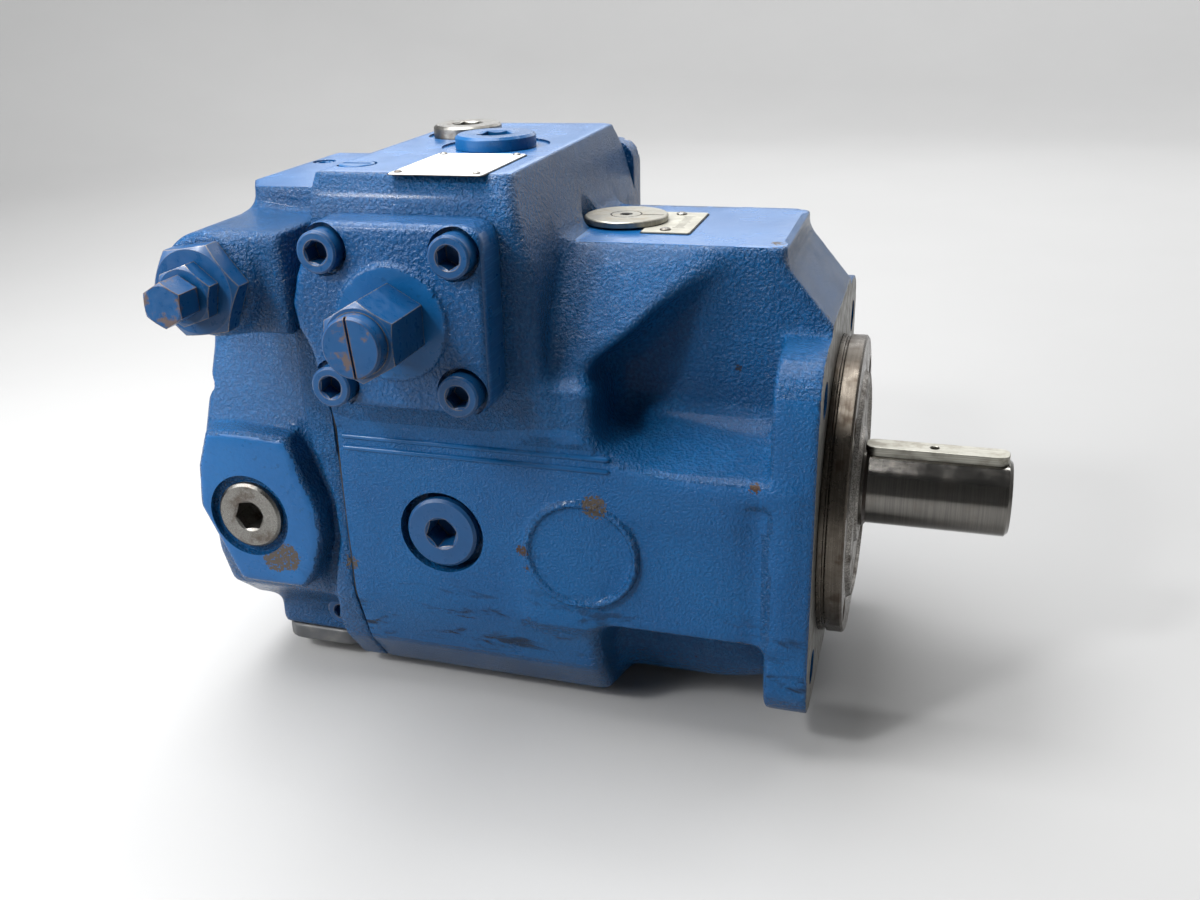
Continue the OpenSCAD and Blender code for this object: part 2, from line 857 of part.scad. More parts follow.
module rear_port_plug() {
    color("silver") translate([plug_x, -port_face_y + 3, plug_z]) rotate([90, 0, 0]) screw_plug(15, 3.2, 10.8, 12, 12);
}

module lower_plug() {
    color("steelblue") translate([-214, -50, -66]) rotate([90, 0, 0]) screw_plug(7, 1.6, 4.8, 8, 6);
}

// ---- Port plate ----
joint_outline = both_sides([[0, -93], [30, -93], [52, -86], [67, -64], [74.5, -12], [76, 30], [78, 48], [78, 77.8]]);
body_outline = both_sides([
    [0, -72], [24, -72], [52, -58], [72, -36], [79, -25], [79, 11], [72, 22], [54, 62], [52, 77.8]
]);

module port_plate_outside() {
    along_x(port_x - 14, port_x) polygon(joint_outline);
    along_x(rear_x, port_x - 13) polygon(body_outline);
    xcyl(48, port_x - 1, joint_x);
    block_at([suction_x - 19, -50, suction_z], [port_x - 4, 50, -50]);
    ycyl(27, 60, port_face_y, plug_x + 2, plug_z);
}

module port_plate_passages() {
    xcyl(26, -218, joint_x + 1);
    kidney(0, 62, -232, joint_x + 1);
    kidney(180, 62, -228, joint_x + 1);
    zcyl(20, suction_z - 1, -36, suction_x);
    ycyl(10, 30, port_face_y + 1, plug_x, plug_z);
    ycyl(11, -port_face_y + 2, -30, plug_x, plug_z);
    ycyl(18.8, -port_face_y - 1, -port_face_y + 3, plug_x, plug_z);
    for (y = [-31, 31]) zcyl(6, plug_z, 20, -230, y);
}

module port_plate_fixings() {
    for (sx = [-1, 1], sz = [-1, 1])
        ycyl(4.25, port_face_y - 20, port_face_y + 1, plug_x + sx * sae_pressure.x / 2, plug_z + sz * sae_pressure.y / 2);
    for (sx = [-1, 1], sy = [-1, 1])
        zcyl(5.1, suction_z - 1, suction_z + 18, suction_x + sx * sae_suction.x / 2, sy * sae_suction.y / 2);
    for (p = port_screw_places) translate([0, p.x, p.y]) {
        xcyl(M12[0] + 0.2, rear_x - 1, joint_x + 1);
        xcyl(9.6, rear_x - 1, rear_x + 48);
    }
    translate([0, 42, 0]) xcyl(1.5, joint_x - 5.2, joint_x + 1);
    ycyl(5, -56, -41, -214, -66);
}

module port_plate() {
    color("royalblue") difference() {
        port_plate_outside();
        port_plate_passages();
        port_plate_fixings();
    }
}

module port_plate_gasket() {
    color("black") along_x(port_x, joint_x) difference() {
        polygon([for (p = joint_outline) [p.x * 0.995, min(p.y * 0.995, 77)]]);
        circle(58);
        for (p = port_screw_places) translate(p) circle(7);
    }
}

module port_plate_screws() {
    color("steelblue") for (p = port_screw_places)
        translate([rear_x + 48, p.x, p.y]) rotate([0, -90, 0]) socket_screw(M12, 44);
}

module suction_port_cap() {
    color("dimgray") translate([suction_x, 0, suction_z - 8]) difference() {
        linear_extrude(8) rounded_square([39, 98], 9);
        translate([0, 0, 3]) cylinder(r = 16, h = 6);
    }
}

plate_lo = [-159, -76];
plate_hi = [-122, -27];

module nameplate() {
    color("white") {
        block_at([plate_lo.x, plate_lo.y, block_top], [plate_hi.x, plate_hi.y, block_top + 0.5]);
        for (x = [plate_lo.x + 3, plate_hi.x - 3], y = [plate_lo.y + 3, plate_hi.y - 3])
            translate([x, y, block_top + 0.5]) cylinder(r1 = 1.6, r2 = 0.9, h = 0.7);
    }
}

pump_housing();
pilot_cover();
pilot_cover_screws();
seal_carrier();
seal_carrier_o_ring();
shaft_seal();
drive_shaft();
shaft_key();
front_bearing_outer();
front_bearing_inner();
front_bearing_rollers();
rear_bearing_outer();
rear_bearing_inner();
rear_bearing_rollers();
cylinder_block();
pistons();
slippers();
retainer_plate();
retaining_ball();
block_spring();
valve_plate();
valve_plate_pin();
swash_cradle();
cradle_rollers();
cradle_shells();
indicator_spindle();
spindle_bush();
indicator_disc();
indicator_screw();
scale_plate();
scale_plate_pins();
stroking_piston();
stroke_spring();
stroke_cover_near();
near_cover_screws();
stroke_cover_far();
far_cover_screws();
stroke_limiter_screw();
limiter_lock_nut();
control_valve_housing();
control_valve_screws();
control_spool();
control_spring();
control_spring_seat();
control_end_plug();
adjuster_plug();
adjuster_lock_nut();
adjusting_screw();
top_plug_large();
top_plug_small();
slotted_plug();
valve_body_plug();
side_plug();
port_plate();
port_plate_gasket();
port_plate_screws();
rear_port_plug();
lower_plug();
suction_port_cap();
nameplate();
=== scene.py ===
import json
import math
import bmesh
import bpy
import numpy as np
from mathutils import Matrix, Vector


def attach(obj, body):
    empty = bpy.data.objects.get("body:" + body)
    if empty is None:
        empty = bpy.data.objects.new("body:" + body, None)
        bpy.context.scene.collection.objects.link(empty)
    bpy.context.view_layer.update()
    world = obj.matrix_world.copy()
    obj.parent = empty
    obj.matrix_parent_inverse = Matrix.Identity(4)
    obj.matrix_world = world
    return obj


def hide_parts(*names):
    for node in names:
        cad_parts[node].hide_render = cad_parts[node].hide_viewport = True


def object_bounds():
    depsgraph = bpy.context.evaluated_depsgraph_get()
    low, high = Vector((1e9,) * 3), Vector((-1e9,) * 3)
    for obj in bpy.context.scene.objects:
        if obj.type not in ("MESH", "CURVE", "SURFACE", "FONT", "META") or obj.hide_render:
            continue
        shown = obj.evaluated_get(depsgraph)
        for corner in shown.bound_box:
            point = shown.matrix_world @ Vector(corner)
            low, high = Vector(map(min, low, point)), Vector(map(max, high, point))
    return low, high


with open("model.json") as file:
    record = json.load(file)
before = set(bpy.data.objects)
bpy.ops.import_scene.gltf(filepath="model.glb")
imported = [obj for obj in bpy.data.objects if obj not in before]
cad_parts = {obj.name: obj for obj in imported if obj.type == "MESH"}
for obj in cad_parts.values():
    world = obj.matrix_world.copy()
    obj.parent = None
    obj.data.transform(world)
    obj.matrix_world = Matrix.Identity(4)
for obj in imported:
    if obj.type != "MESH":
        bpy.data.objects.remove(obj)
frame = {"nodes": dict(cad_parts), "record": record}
import openvdb
from mathutils import Matrix, Vector

# Lengths and places are in millimetres, in the frame of the CAD, unless a comment says otherwise.
# The shaft runs along X through the origin, the mounting face is at X = 0, and near is towards -Y.
MM = 0.001
cad_low, cad_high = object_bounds()
SMOOTH_ANGLE = math.radians(32)
CAST_ANGLE = math.radians(45)

JOINT_X = -192.0
SIDE_Y = 76.0
FLANGE_HALF, FLANGE_T, FLANGE_CORNER = 75.0, 17.0, 21.0
TOWER_Y, TOWER_TOP = 38.0, 108.0
BLOCK_Y, BLOCK_TOP = 79.0, 139.0
SWIVEL_X = -89.0
STROKE_X, STROKE_Z = -152.0, 89.5
COVER_X, COVER_Z, COVER_SIDE, COVER_T = -151.0, 90.0, 71.0, 17.5
COVER_PITCH = 51.5
FAR_COVER_X, FAR_COVER_Z = -148.0, 91.0
CONTROL_X, CONTROL_Z, CONTROL_TOP = -226.0, 100.5, 130.5
BOSS_NEAR, BOSS_R = -101.0, 20.5
PORT_PLUG = (-237.0, -7.0)
SIDE_PLUG = (-148.5, -6.0)
EMBLEM, EMBLEM_R = (-89.2, -8.4), 22.2
TOP_LARGE, TOP_SMALL = (-145.0, 0.0), (-170.0, 31.0)
SLOTTED, SLOTTED_R = (-183.2, -52.6), 7.2
SCALE_X = -68.3
LOWER_PLUG, VALVE_PLUG, SUCTION_X = (-214, -50, -66), (-229, 4), -227
PAD_Y = -BLOCK_Y - COVER_T - 1.5

# Screws: how far each one is from the middle, sideways and upwards, and the height of its seat.
CORNERS = [(-1, -1), (-1, 1), (1, -1), (1, 1)]
FLANGE_BOLT = 56.569
PILOT_SCREW = 38.89
PORT_SCREWS, PORT_SEAT = [(52.5, 41), (44, -48)], -214
CONTROL_SCREWS, CONTROL_SEAT = [(y, z) for y in (-34, 20) for z in (86, 122)], -229.5

AXIS = (0, 0, 0)
NEAR = Vector((0, -1, 0))
FAR = Vector((0, 1, 0))
UP = Vector((0, 0, 1))
FRONT = Vector((1, 0, 0))
REAR = Vector((-1, 0, 0))


# ---- Materials ----
class Finish:
    """A node material that builds up colour, roughness and bump around one Principled shader."""

    def __init__(self, name, roughness, metallic=0.0, **sockets):
        self.material = bpy.data.materials.new(name)
        self.material.use_nodes = True
        self.tree = self.material.node_tree
        self.shader = self.tree.nodes["Principled BSDF"]
        self.shader.inputs["Roughness"].default_value = roughness
        self.shader.inputs["Metallic"].default_value = metallic
        for socket, value in sockets.items():
            self.shader.inputs[socket.replace("_", " ")].default_value = value
        self.place = self.node("TexCoord", {}).outputs["Object"]

    def node(self, kind, inputs, **settings):
        """A node with its settings, and with its inputs filled."""
        made = self.tree.nodes.new("ShaderNode" + kind)
        for setting, value in settings.items():
            setattr(made, setting, value)
        for socket, source in inputs.items():
            self.join(source, made.inputs[socket])
        return made

    def join(self, source, target):
        """Fills an input with a number, a vector, a colour or another node's output."""
        if isinstance(source, (int, float, Vector)):
            target.default_value = source
        elif isinstance(source, tuple):
            target.default_value = (*source, 1.0)
        else:
            self.tree.links.new(source, target)

    def stretched(self, scale, rotation=(0, 0, 0)):
        """The place on the object, stretched: a small scale along an axis makes long marks along it."""
        inputs = {"Vector": self.place, "Rotation": Vector(rotation), "Scale": Vector(scale)}
        return self.node("Mapping", inputs).outputs[0]

    def noise(self, size_mm, detail=3.0, rough=0.5, place=None, distortion=0.0):
        """Noise whose blotches are about size_mm across."""
        inputs = {
            "Vector": place or self.place, "Scale": 1 / (size_mm * MM), "Detail": detail, "Roughness": rough,
            "Distortion": distortion
        }
        return self.node("TexNoise", inputs).outputs["Fac"]

    def step(self, value, low, high, to_low=0.0, to_high=1.0):
        inputs = dict(enumerate((value, low, high, to_low, to_high)))
        return self.node("MapRange", inputs, interpolation_type="SMOOTHSTEP").outputs[0]

    def math(self, operation, a, b):
        return self.node("Math", {0: a, 1: b}, operation=operation).outputs[0]

    def times(self, a, b):
        return self.math("MULTIPLY", a, b)

    def mix(self, share, a, b):
        return self.node("Mix", {"Factor": share, "A": a, "B": b}, data_type="RGBA").outputs["Result"]

    def near(self, point_mm, inside, outside):
        """1 within inside of a point, 0 beyond outside, both in millimetres."""
        made = self.node("VectorMath", {0: self.place, 1: Vector(point_mm) * MM}, operation="DISTANCE")
        return self.step(made.outputs["Value"], inside * MM, outside * MM, 1.0, 0.0)

    def axis(self, name):
        """One coordinate of the place, in metres."""
        return self.node("SeparateXYZ", {0: self.place}).outputs[name]

    def bump(self, height, depth_mm, below=None):
        inputs = {"Height": height, "Distance": depth_mm * MM}
        if below is not None:
            inputs["Normal"] = below
        return self.node("Bump", inputs).outputs[0]

    def soft_edges(self, radius_mm=0.4, samples=4):
        """Catches light along edges, as a broken edge does."""
        return self.node("Bevel", {"Radius": radius_mm * MM}, samples=samples).outputs[0]

    def finish(self, colour, roughness=None, normal=None, metallic=None):
        self.join(colour, self.shader.inputs["Base Color"])
        for value, socket in ((roughness, "Roughness"), (normal, "Normal"), (metallic, "Metallic")):
            if value is not None:
                self.join(value, self.shader.inputs[socket])
        return self.material


RUST = (0.045, 0.024, 0.013)
BARE = (0.060, 0.048, 0.038)
INK = (0.004, 0.01, 0.02)
# Dark blue for the smeared patches that darken the paint towards the bottom.
LOW_DARK_BLUE = (0.002, 0.008, 0.02)


def dimmed(colour, *shares):
    """A colour with each of its channels cut to a share."""
    return tuple(value * share for value, share in zip(colour, shares))


def blue_paint(name, deep, light, cast_mm, cast_depth, fine_depth, roughness, worn=(), darker_below=0.0,
               gloss=0.28, pit_shade=0.4):
    """Gloss enamel: colour drift, cast or orange-peel bump, smeared patches that darken the blue towards the
    bottom, and painted shade in the pits of the grain.

    Each worn place is a point, the radii where the paint is off and where it is whole again, and a tint.
    """
    made = Finish(name, roughness, Coat_Weight=0.08, Coat_Roughness=0.12, Specular_IOR_Level=gloss)
    drift = made.noise(38, 4)
    colour = made.mix(made.step(drift, 0.3, 0.7), deep, light)
    speck = made.step(made.noise(2.6, 2, place=made.place), 0.66, 0.72)
    colour = made.mix(made.times(speck, 0.35), colour, dimmed(deep, 0.4, 0.4, 0.4))
    if darker_below:
        # Smeared patches that darken the blue towards the bottom: none above 20 mm below the shaft axis,
        # fullest from 45 mm below it.
        smear = made.noise(9, 5, 0.65, place=made.stretched((0.35, 1.0, 1.4)), distortion=0.6)
        low = made.step(made.axis("Z"), -0.045, -0.02, 1.0, 0.0)
        darker_below_mask = made.times(made.step(smear, 0.53, 0.66), made.times(low, darker_below))
        colour = made.mix(darker_below_mask, colour, LOW_DARK_BLUE)
    rough = made.step(made.noise(14, 4), 0.3, 0.75, roughness * 0.75, min(1.0, roughness * 1.45))
    grain = made.step(made.noise(cast_mm, 3.0, 0.55), 0.34, 0.66)
    # Painted shade: the low spots of the grain are darkened, standing in for the shade that falls in them.
    pit_shade_share = made.times(made.math("SUBTRACT", 1.0, grain), pit_shade)
    colour = made.mix(pit_shade_share, colour, dimmed(deep, 0.35, 0.4, 0.45))
    peel = made.bump(grain, cast_depth * 0.4)
    normal = made.bump(made.noise(cast_mm * 0.38, 2.0), fine_depth, below=peel)
    for point, inside, outside, tint in worn:
        ragged = made.times(made.step(made.noise(1.1, 2), 0.3, 0.7), 0.9)
        mask = made.step(made.math("ADD", made.near(point, inside, outside), ragged), 1.05, 1.25)
        colour = made.mix(mask, colour, tint)
        rough = made.math("MAXIMUM", rough, made.times(mask, 0.7))
    return made.finish(colour, rough, normal)


def bare_metal(name, dark, light, roughness, grain, grain_depth, stain=None, stain_share=0.5):
    """Turned or ground metal: fine grooves that run as grain stretches them, and patchy staining."""
    made = Finish(name, roughness, 1.0)
    lines = made.noise(0.5, 3, 0.6, place=made.stretched(grain))
    blotch = made.noise(7, 5, 0.6)
    colour = made.mix(made.step(lines, 0.3, 0.7), dark, light)
    if stain:
        colour = made.mix(made.times(made.step(blotch, 0.48, 0.68), stain_share), colour, stain)
    rough = made.step(blotch, 0.3, 0.7, roughness * 0.8, min(1.0, roughness * 1.5))
    edge = made.soft_edges()
    return made.finish(colour, rough, made.bump(lines, grain_depth, below=edge))


# How noise is stretched into grooves: along X, around X, around Y, or not at all.
ALONG_X = (0.02, 1.0, 1.0)
ROUND_X = (1.0, 0.02, 0.02)
ROUND_Y = (0.02, 1.0, 0.02)
EVEN = (1.0, 1.0, 1.0)

cast_marks = [
    ((-83, -77.5, 13.4), 3.5, 7.5, BARE), ((-113.6, -77, -9), 1.5, 4.5, RUST),
    ((-112, -77, -17), 0.5, 3, RUST), ((-108.5, -17, 108.5), 2.0, 8.0, RUST),
    ((-116, -75, 139), 1.0, 4.0, BARE), ((-22, -75, 27.5), 1.0, 3.5, RUST), ((-35, -38, 61), 0.8, 2.6, INK),
    ((-23, -30, 107), 1.0, 5.0, BARE), ((-4, -34, 80), 1.0, 4.0, BARE), ((-192.5, -76, -26), 2.0, 6.0, BARE),
]
port_marks = [((-221, -79.5, -25), 5.5, 8.0, BARE), ((-227, -79.5, -27), 4.5, 7.0, BARE)]
DEEP_BLUE, CAST_BLUE, SMOOTH_BLUE = (0.0025, 0.058, 0.170), (0.0045, 0.084, 0.240), (0.007, 0.092, 0.262)
paint_cast = blue_paint("paint_cast", DEEP_BLUE, CAST_BLUE, 1.25, 1.25, 0.36, 0.115, cast_marks, gloss=0.26)
# The sides darken towards the bottom in smeared patches.
paint_side = blue_paint("paint_side", (0.0045, 0.072, 0.212), CAST_BLUE, 1.1, 0.55, 0.22, 0.20, cast_marks,
                        darker_below=0.9, gloss=0.21, pit_shade=0.25)
# Machined tops: smoother and glossier, with a lighter blue that is partly a painted reflection of the pale
# light the tops catch.
paint_flat_sheen = blue_paint("paint_flat_sheen", (0.006, 0.080, 0.235), SMOOTH_BLUE, 3.2, 0.03, 0.015, 0.22, cast_marks,
                        gloss=0.38, pit_shade=0.0)
paint_port = blue_paint("paint_port", (0.004, 0.075, 0.225), SMOOTH_BLUE, 1.8, 0.10, 0.05, 0.32, port_marks,
                        pit_shade=0.1)
paint_part = blue_paint("paint_part", DEEP_BLUE, CAST_BLUE, 1.6, 0.05, 0.03, 0.28, pit_shade=0.0)
paint_cover = blue_paint("paint_cover", (0.003, 0.054, 0.162), (0.004, 0.070, 0.205), 1.7, 0.75, 0.20, 0.18,
                         pit_shade=0.25)


def worn_paint(name, share, bare):
    """Enamel on a machined part, rubbed through to bare or rusty steel along its edges."""
    made = Finish(name, 0.32, Coat_Weight=0.1, Coat_Roughness=0.2, Specular_IOR_Level=0.3)
    edge = made.soft_edges(0.9, 8)
    true_normal = made.node("NewGeometry", {}).outputs["Normal"]
    turn = made.node("VectorMath", {0: edge, 1: true_normal}, operation="DOT_PRODUCT")
    at_edge = made.step(turn.outputs["Value"], 0.93, 0.995, 1.0, 0.0)
    rubbed = made.times(at_edge, made.step(made.noise(1.8, 4), 0.30, 0.50))
    patch = made.step(made.noise(6, 5, 0.62), 0.56, 0.66)
    mask = made.math("MAXIMUM", rubbed, made.times(patch, share))
    blue = made.mix(made.noise(12, 3), (0.003, 0.038, 0.115), (0.005, 0.066, 0.19))
    colour = made.mix(mask, blue, bare)
    rough = made.step(made.noise(3, 4), 0.3, 0.7, 0.25, 0.5)
    peel = made.bump(made.noise(2.5, 3), 0.02)
    return made.finish(colour, rough, peel, made.times(mask, 0.5))


def scratched_paint():
    """Enamel over a milled side, with the fine slanting lines of the cutter."""
    made = Finish("paint_scratched", 0.34, Coat_Weight=0.3, Coat_Roughness=0.2)
    slant = made.stretched((1, 0.05, 1.6), (math.radians(32), 0, 0))
    lines = made.noise(1.1, 2, 0.5, place=slant)
    colour = made.mix(made.step(lines, 0.55, 0.66), (0.003, 0.062, 0.19), (0.02, 0.11, 0.27))
    return made.finish(colour, made.step(made.noise(8, 3), 0.3, 0.7, 0.26, 0.45), made.bump(lines, 0.12))


paint_scratched = scratched_paint()
paint_worn = worn_paint("paint_worn", 0.0, (0.19, 0.16, 0.13))
paint_rubbed = worn_paint("paint_rubbed", 0.75, (0.13, 0.082, 0.045))
steel_ring = bare_metal("steel_ring", (0.085, 0.073, 0.060), (0.125, 0.11, 0.092), 0.27, ROUND_X, 0.006,
                        (0.045, 0.028, 0.018), 0.6)
steel_face = bare_metal("steel_face", (0.14, 0.14, 0.13), (0.26, 0.26, 0.25), 0.42, EVEN, 0.02,
                        (0.12, 0.09, 0.06), 0.35)
steel_shaft = bare_metal("steel_shaft", (0.15, 0.145, 0.135), (0.20, 0.19, 0.175), 0.13, ROUND_X, 0.0015,
                         (0.15, 0.13, 0.11), 0.3)
steel_collar = bare_metal("steel_collar", (0.035, 0.03, 0.028), (0.07, 0.062, 0.055), 0.34, ROUND_X, 0.004,
                          (0.05, 0.03, 0.02), 0.5)
steel_key = bare_metal("steel_key", (0.30, 0.29, 0.25), (0.46, 0.45, 0.40), 0.38, ALONG_X, 0.012,
                       (0.16, 0.13, 0.09), 0.3)
steel_carrier = bare_metal("steel_carrier", (0.09, 0.085, 0.08), (0.42, 0.40, 0.37), 0.42, EVEN, 0.10,
                           (0.05, 0.035, 0.025), 0.7)
steel_plated = bare_metal("steel_plated", (0.15, 0.145, 0.135), (0.24, 0.235, 0.22), 0.32, EVEN, 0.03,
                          (0.07, 0.045, 0.03), 0.6)
steel_disc = bare_metal("steel_disc", (0.25, 0.24, 0.21), (0.33, 0.32, 0.28), 0.40, ROUND_Y, 0.008,
                        (0.22, 0.17, 0.11), 0.3)
steel_inner = bare_metal("steel_inner", (0.42, 0.42, 0.42), (0.62, 0.62, 0.62), 0.28, EVEN, 0.008)
steel_black = bare_metal("steel_black", (0.03, 0.03, 0.03), (0.09, 0.09, 0.09), 0.45, EVEN, 0.02)
bronze = bare_metal("bronze", (0.40, 0.24, 0.08), (0.62, 0.42, 0.18), 0.35, EVEN, 0.01,
                    (0.25, 0.14, 0.05), 0.4)
cradle_iron = bare_metal("cradle_iron", (0.20, 0.20, 0.19), (0.36, 0.36, 0.35), 0.5, EVEN, 0.03,
                         (0.12, 0.10, 0.08), 0.3)


def moulded(name, dark, light, size_mm, depth, roughness, dust=0.0):
    """Rubber, plastic or paper with a fine moulded surface."""
    made = Finish(name, roughness)
    colour = made.mix(made.step(made.noise(9, 4), 0.3, 0.7), dark, light)
    if dust:
        dusty = made.times(made.step(made.noise(5, 5), 0.5, 0.75), dust)
        colour = made.mix(dusty, colour, (0.2, 0.19, 0.17))
    rough = made.step(made.noise(4, 3), 0.3, 0.7, roughness * 0.85, min(1.0, roughness * 1.2))
    return made.finish(colour, rough, made.bump(made.noise(size_mm, 3), depth, below=made.soft_edges()))


rubber = moulded("rubber", (0.010, 0.010, 0.010), (0.03, 0.03, 0.03), 0.8, 0.03, 0.6)
gasket = moulded("gasket", (0.006, 0.008, 0.010), (0.02, 0.022, 0.025), 1.0, 0.05, 0.8)
cap_plastic = moulded("cap_plastic", (0.050, 0.052, 0.056), (0.085, 0.088, 0.092), 0.9, 0.03, 0.45, 0.35)
label_white = moulded("label_white", (0.74, 0.75, 0.76), (0.82, 0.82, 0.82), 1.5, 0.01, 0.5)
scale_metal = moulded("scale_metal", (0.25, 0.24, 0.20), (0.33, 0.32, 0.27), 0.6, 0.01, 0.45, 0.3)


# ---- Castings: signed distance fields on a grid ----
def soft_min(a, b, width):
    blend = np.maximum(width - np.abs(a - b), 0) / width
    return np.minimum(a, b) - blend * blend * width / 4


def soft_max(a, b, width):
    return -soft_min(-a, -b, width)


def outline_distance(u, v, outline):
    """Signed distance to a closed outline in a plane, negative inside."""
    nearest, inside = None, False
    for (u0, v0), (u1, v1) in zip(outline, outline[1:] + outline[:1]):
        du, dv = u1 - u0, v1 - v0
        along = np.clip(((u - u0) * du + (v - v0) * dv) / (du * du + dv * dv), 0, 1)
        gap = np.hypot(u - u0 - along * du, v - v0 - along * dv)
        nearest = gap if nearest is None else np.minimum(nearest, gap)
        if dv:
            inside = inside ^ (((v0 <= v) != (v1 <= v)) & (u < u0 + (v - v0) * du / dv))
    return np.where(inside, -nearest, nearest).astype(np.float32)


def mirrored(half):
    """The right half of an outline, with its mirror image; points on the middle line stay single."""
    return half + [(-u, v) for u, v in reversed(half) if u]


class Clay:
    """A grid to shape a casting on. A field holds signed distances in millimetres, negative inside."""

    def __init__(self, low, high, step):
        axes = [np.arange(a, b + step, step, dtype=np.float32) for a, b in zip(low, high)]
        self.low, self.step = low, step
        self.x, self.y, self.z = axes[0][:, None, None], axes[1][None, :, None], axes[2][None, None, :]

    def full(self, field):
        return np.broadcast_to(field, (self.x.shape[0], self.y.shape[1], self.z.shape[2])).astype(np.float32)

    def across(self, plane, coordinate, low, high, edge=0.0):
        """A plane figure given a thickness, with its rims rounded by edge."""
        slab = np.abs(coordinate - (low + high) / 2) - (high - low) / 2
        if not edge:
            return self.full(np.maximum(plane, slab))
        outside = np.hypot(np.maximum(plane + edge, 0), np.maximum(slab + edge, 0))
        return self.full(outside + np.minimum(np.maximum(plane, slab) + edge, 0) - edge)

    def along_x(self, outline, low, high, edge=0.0):
        return self.across(outline_distance(self.y, self.z, outline), self.x, low, high, edge)

    def along_y(self, outline, low, high, edge=0.0):
        return self.across(outline_distance(self.x, self.z, outline), self.y, low, high, edge)

    def along_z(self, outline, low, high, edge=0.0):
        return self.across(outline_distance(self.x, self.y, outline), self.z, low, high, edge)

    def round_y(self, r, low, high, x, z, edge=0.0):
        return self.across(np.hypot(self.x - x, self.z - z) - r, self.y, low, high, edge)

    def blur(self, field, times):
        """Softens edges: each time rounds them by a little more."""
        for _ in range(times):
            for axis in range(3):
                padded = np.concatenate((field.take([0], axis), field, field.take([-1], axis)), axis)
                size = field.shape[axis]
                parts = [padded.take(range(i, i + size), axis) for i in range(3)]
                field = 0.25 * parts[0] + 0.5 * parts[1] + 0.25 * parts[2]
        return field

    def mesh(self, name, field, adaptivity):
        """The surface of the shape as a closed mesh, in metres."""
        for axis in range(3):
            index = [slice(None)] * 3
            for end in (0, -1):
                index[axis] = end
                field[tuple(index)] = np.maximum(field[tuple(index)], 0.5 * self.step)
        grid = openvdb.FloatGrid(3 * self.step)
        grid.copyFromArray(np.ascontiguousarray(field, np.float32))
        points, triangles, quads = grid.convertToPolygons(isovalue=0.0, adaptivity=adaptivity)
        points = (np.array(self.low) + points * self.step) * MM
        made = bpy.data.meshes.new(name)
        made.from_pydata(points.tolist(), [], triangles[:, ::-1].tolist() + quads[:, ::-1].tolist())
        face_outwards(made)
        return made


def face_outwards(mesh):
    shape = bmesh.new()
    shape.from_mesh(mesh)
    bmesh.ops.remove_doubles(shape, verts=shape.verts, dist=1e-7)
    bmesh.ops.recalc_face_normals(shape, faces=shape.faces)
    if shape.calc_volume(signed=True) < 0:
        bmesh.ops.reverse_faces(shape, faces=shape.faces)
    shape.to_mesh(mesh)
    shape.free()


# ---- Turned, hexagonal and cut pieces ----
def soften(points, radius, steps=4, closed=False):
    """Rounds the corners of an outline with arcs of the given radius, in place of each sharp corner."""
    points = list(dict.fromkeys(points))
    if not radius:
        return points
    count = len(points)
    rounded = []
    for i, point in enumerate(points):
        corner = Vector(point)
        if not closed and i in (0, count - 1):
            rounded.append(tuple(corner))
            continue
        before, after = Vector(points[i - 1]) - corner, Vector(points[(i + 1) % count]) - corner
        turn = before.angle(after)
        if turn > math.radians(172):
            rounded.append(tuple(corner))
            continue
        reach = min(radius / math.tan(turn / 2), 0.45 * before.length, 0.45 * after.length)
        start, end = corner + before.normalized() * reach, corner + after.normalized() * reach
        for k in range(steps + 1):
            t = k / steps
            rounded.append(tuple(start * (1 - t) ** 2 + corner * 2 * t * (1 - t) + end * t * t))
    return rounded


def pointing(origin, direction, turn_deg=0.0):
    """Matrix that puts local Z along a direction at an origin given in millimetres."""
    direction = Vector(direction)
    sideways = Vector((1, 0, 0)) if abs(direction.x) < 0.9 else Vector((0, 1, 0))
    x_axis = (sideways - direction * sideways.dot(direction)).normalized()
    y_axis = direction.cross(x_axis)
    turn = Matrix((x_axis, y_axis, direction)).transposed().to_4x4()
    return Matrix.Translation(Vector(origin)) @ turn @ Matrix.Rotation(math.radians(turn_deg), 4, "Z")


def turned(profile, round_off=0.35, sides=72, ring=False):
    """A body turned about Z from (radius, height) points, from axis to axis or as a closed ring."""
    points = soften(profile, round_off, closed=ring)
    shape = bmesh.new()
    rows = []
    for radius, height in points:
        if radius < 1e-6:
            rows.append([shape.verts.new((0, 0, height))])
        else:
            rows.append([
                shape.verts.new((radius * math.cos(a), radius * math.sin(a), height))
                for a in (2 * math.pi * i / sides for i in range(sides))
            ])
    pairs = list(zip(rows, rows[1:] + rows[:1])) if ring else list(zip(rows, rows[1:]))
    for lower, upper in pairs:
        for i in range(sides):
            j = (i + 1) % sides
            corners = [row[k % len(row)] for row, k in ((lower, i), (lower, j), (upper, j), (upper, i))]
            unique = list(dict.fromkeys(corners))
            if len(unique) > 2:
                shape.faces.new(unique)
    bmesh.ops.recalc_face_normals(shape, faces=shape.faces)
    return shape


def rod(radius, low, high, sides=72):
    """A plain round body along Z, to cut with."""
    return turned([(0, low), (radius, low), (radius, high), (0, high)], 0, sides)


def prism(outline, low, high, round_off=0.0):
    """A straight body along Z over an outline of (x, y) points."""
    shape = bmesh.new()
    lower = [shape.verts.new((x, y, low)) for x, y in outline]
    upper = [shape.verts.new((x, y, high)) for x, y in outline]
    shape.faces.new(list(reversed(lower)))
    shape.faces.new(upper)
    for i in range(len(outline)):
        j = (i + 1) % len(outline)
        shape.faces.new([lower[i], lower[j], upper[j], upper[i]])
    bmesh.ops.recalc_face_normals(shape, faces=shape.faces)
    if round_off:
        sharp = [e for e in shape.edges if e.calc_face_angle(0) > math.radians(20)]
        bmesh.ops.bevel(shape, geom=sharp, offset=round_off, segments=3, profile=0.5, affect="EDGES")
    return shape


